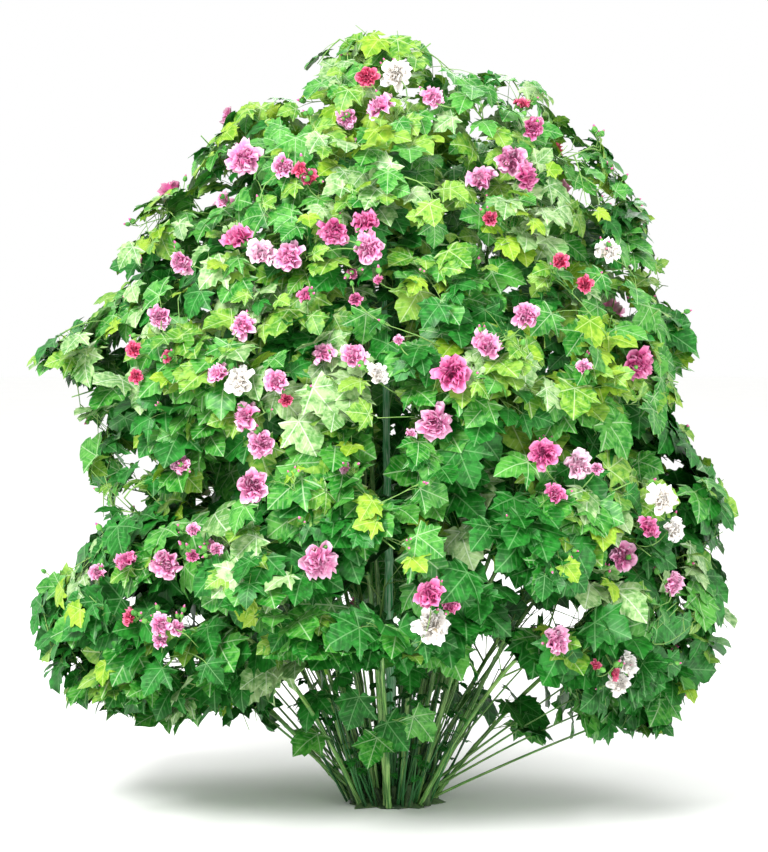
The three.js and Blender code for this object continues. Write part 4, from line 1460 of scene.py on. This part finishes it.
def budShape():
    bm = bmesh.new()
    bmesh.ops.create_uvsphere(bm, u_segments=8, v_segments=5, radius=1)
    for vert in bm.verts:
        height = vert.co.z
        ridge = 1.06 if round(math.atan2(vert.co.y, vert.co.x) / (math.pi / 4)) % 2 else 0.92
        narrow = 1 if height < 0 else 1 - 0.35 * height
        tall = 1.5 if height > 0 else 1.05
        vert.co = (vert.co.x * ridge * narrow, vert.co.y * ridge * narrow, height * tall)
    setUvs(bm, lambda place: (place.x * 0.3 + 0.5, place.z * 0.3 + 0.5))
    return shapeOf(bm)


def budTipShape():
    bm = bmesh.new()
    bmesh.ops.create_cone(bm, cap_ends=True, segments=6, radius1=0.62, radius2=0.16, depth=1.2)
    bmesh.ops.translate(bm, verts=bm.verts[:], vec=(0, 0, 1.35))
    setUvs(bm, lambda place: (place.x * 0.3 + 0.5, within(place.z - 0.7)))
    return shapeOf(bm)


def makeBudsAndCalyces():
    rng = np.random.default_rng(budding["seed"])
    stalks, buds = [], []
    for limb in limbs:
        if limb.kind != "shoot" or insideOutline(limb.tip) > budding["nearEdge"]:
            continue
        chance = budding["byFlower"] if limb.flower else budding["bare"]
        if rng.random() > chance:
            continue
        for k in range(rng.integers(1, 4)):
            away = unit(limb.heading + 0.4 * outwardsOf(limb.tip) + 0.4 * upwards + rng.uniform(-0.7, 0.7, 3))
            stalk = rng.uniform(*budding["stalk"]) * (1.6 if limb.flower else 1)
            if insideOutline(limb.tip + away * (stalk + 20)) < 0:
                continue
            path = bentPath(limb.tip, away, stalk, upwards * 0.1, 5)
            stalks.append(path)
            buds.append((path[-1] + away * 6, away, rng.uniform(*budding["size"])))
    radii = np.full((len(stalks), 5), budding["stalkRadius"])
    chunk = alongPaths(limbShape(5, 4), stalks, radii)
    makePiece("flower_stalks", [chunk], stalkSkin)
    origins, facings, sizes = zip(*buds)
    budAxes = axesTowards(facings, rng.uniform(0, fullTurn, len(buds)))
    calyces = laidOut(calyxShape(), flowerCentres, flowerAxes, flowerRadii)
    chunks = [laidOut(budShape(), origins, budAxes, sizes), calyces]
    makePiece("buds_and_sepals", chunks, sepalSkin)
    chosen = np.flatnonzero(rng.random(len(buds)) < budding["pink"])
    chunk = laidOut(budTipShape(), [origins[k] for k in chosen], budAxes[chosen], [sizes[k] for k in chosen])
    makePiece("bud_tips", [chunk], petals["rose"])
    print("buds:", len(buds))


makeBudsAndCalyces()

# Young shoots between the feet of the canes, each with a small leaf.
basal = {
    "count": 260,
    "reach": (15, 172),
    "height": (110, 440),
    "radius": (2.4, 5),
    "leafSize": (24, 46),
    "seed": 17,
}

# Slender canes from the root crown run up into the skirt. The listed ones stand in front, where
# such canes show in the photo.
slender = {
    "tips": [  # across and up, in centimetres
        (75, 52), (89, 43), (101, 40), (44, 70), (55, 60), (65, 40), (34, 76), (-47, 36), (-60, 44),
        (-38, 66),
        (-26, 74), (-32, 70), (-20, 78), (24, 80), (-70, 52), (-14, 84), (28, 60),
    ],
    "around": 22,
    "footReach": (60, 150),
    "radii": (5.4, 2.6),
    "seed": 74,
}


def slenderCanes():
    rng = np.random.default_rng(slender["seed"])
    tips = [np.array([across * 10.0, rng.uniform(-260, -60), up * 10.0]) for across, up in slender["tips"]]
    for k in range(slender["around"]):
        turn = rng.uniform(0.05, math.pi - 0.05)
        tips.append(polar(turn, rng.uniform(300, 820), rng.uniform(520, 700)))
    paths = []
    for tip in tips:
        azimuth = math.atan2(tip[1], tip[0]) + rng.uniform(-0.3, 0.3)
        foot = polar(azimuth, rng.uniform(*slender["footReach"]), growth["caneFoot"])
        knee = lerp(foot, tip, 0.5) + upwards * rng.uniform(-0.02, 0.1) * np.linalg.norm(tip - foot)
        paths.append(curveAt(foot, knee, tip, np.linspace(0, 1, 12)[:, None]))
    radii = rng.uniform(0.8, 1.1, (len(paths), 1)) * np.linspace(*slender["radii"], 12)
    return alongPaths(limbShape(7, 11), paths, radii)


def makeBasalShoots():
    rng = np.random.default_rng(basal["seed"])
    shape, paths, radii, small = limbShape(6, 5), [], [], []
    for k in range(basal["count"]):
        turn = k * growth["golden"] + rng.uniform(-0.3, 0.3)
        reach = rng.uniform(*basal["reach"])
        heading = unit(polar(turn + rng.uniform(-0.4, 0.4), rng.uniform(0.05, 0.3) + 0.0025 * reach, 1))
        height = rng.uniform(*basal["height"])
        bend = upwards * 0.1 + 0.1 * rng.uniform(-1, 1, 3)
        path = bentPath(polar(turn, reach, 7), heading, height, bend, 6)
        if not clearOfBoughs(path[0], path[-1], 1):
            continue
        paths.append(path)
        radii.append(rng.uniform(*basal["radius"]) * np.linspace(1, 0.35, 6))
        outwards = unit(outwardsOf(path[-1]) + sideOf(upwards, k))
        along = unit(outwards - 0.2 * upwards)
        facing = unit(upwards + 0.2 * rng.uniform(-1, 1, 3))
        facing = squaredTo(along, facing)
        stalkPath = [path[-1], path[-1] + outwards * 6]
        # Each small leaf takes the deep green: painted shade at the foot.
        small.append(Leaf(stalkPath, along, facing, rng.uniform(*basal["leafSize"]), "deep"))
    makePiece("basal_shoots", [alongPaths(shape, paths, radii)], basalBark, ["main_stem"])
    makePiece("slender_canes", [slenderCanes()], caneBark, ["main_stem"])
    chunk = laidLeaves(leafShapes[0], small)
    makePiece("basal_leaves", [chunk], leafGreens["deep"], nodes=["main_stem"], smooth=False)


makeBasalShoots()

# Pale floor, soft light and the camera.
studio = {
    "floorRadius": 30.0,
    "sky": 1.0,
    "lights": [  # place, aim, size in metres, strength in watts
        ((-4.6, -8.2, 8.6), (0, 0, 1.2), 4.0, 1430.0),
        ((5.5, -6.5, 3.5), (0, 0, 1.2), 4.0, 220.0),
        ((1.0, 5.5, 6.0), (0, 0, 1.6), 4.0, 220.0),
    ],
}


def lookFrom(item, place, aim):
    item.location = place
    item.rotation_euler = (Vector(aim) - Vector(place)).to_track_quat("-Z", "Y").to_euler()
    bpy.context.scene.collection.objects.link(item)


def makeStudio():
    bm = bmesh.new()
    bmesh.ops.create_circle(bm, segments=64, radius=studio["floorRadius"], cap_ends=True)
    bmesh.ops.translate(bm, verts=bm.verts[:], vec=(0, 0, -0.0005))
    mesh = bpy.data.meshes.new("floor")
    bm.to_mesh(mesh)
    bm.free()
    floor = bpy.data.objects.new("floor", mesh)
    bpy.context.scene.collection.objects.link(floor)
    finish = Finish("pale floor")
    grain = finish.mottle(3.0)
    colour = finish.blend(grain, colourOf("#fafaf8"), colourOf("#fefefd"))
    mesh.materials.append(finish.close(colour, 0.9 + grain * 0.05, grain, 0.05, 0.001))
    world = bpy.data.worlds.new("sky")
    world.use_nodes = True
    background = world.node_tree.nodes["Background"]
    background.inputs["Color"].default_value = (1, 1, 1, 1)
    background.inputs["Strength"].default_value = studio["sky"]
    bpy.context.scene.world = world
    for number, (place, aim, size, power) in enumerate(studio["lights"]):
        light = bpy.data.lights.new(f"softbox {number + 1}", "AREA")
        light.shape, light.size, light.energy = "DISK", size, power
        lookFrom(bpy.data.objects.new(light.name, light), place, aim)
    camera = bpy.data.cameras.new("camera")
    camera.sensor_fit, camera.sensor_width = "HORIZONTAL", shot["sensor"]
    camera.lens = shot["sensor"] * shot["away"] / shot["seen"]
    camera.clip_end = 200
    eye = bpy.data.objects.new("camera", camera)
    lookFrom(eye, shotPlace, shotAim)
    bpy.context.scene.camera = eye
    bpy.context.scene.view_settings.view_transform = "Standard"


makeStudio()
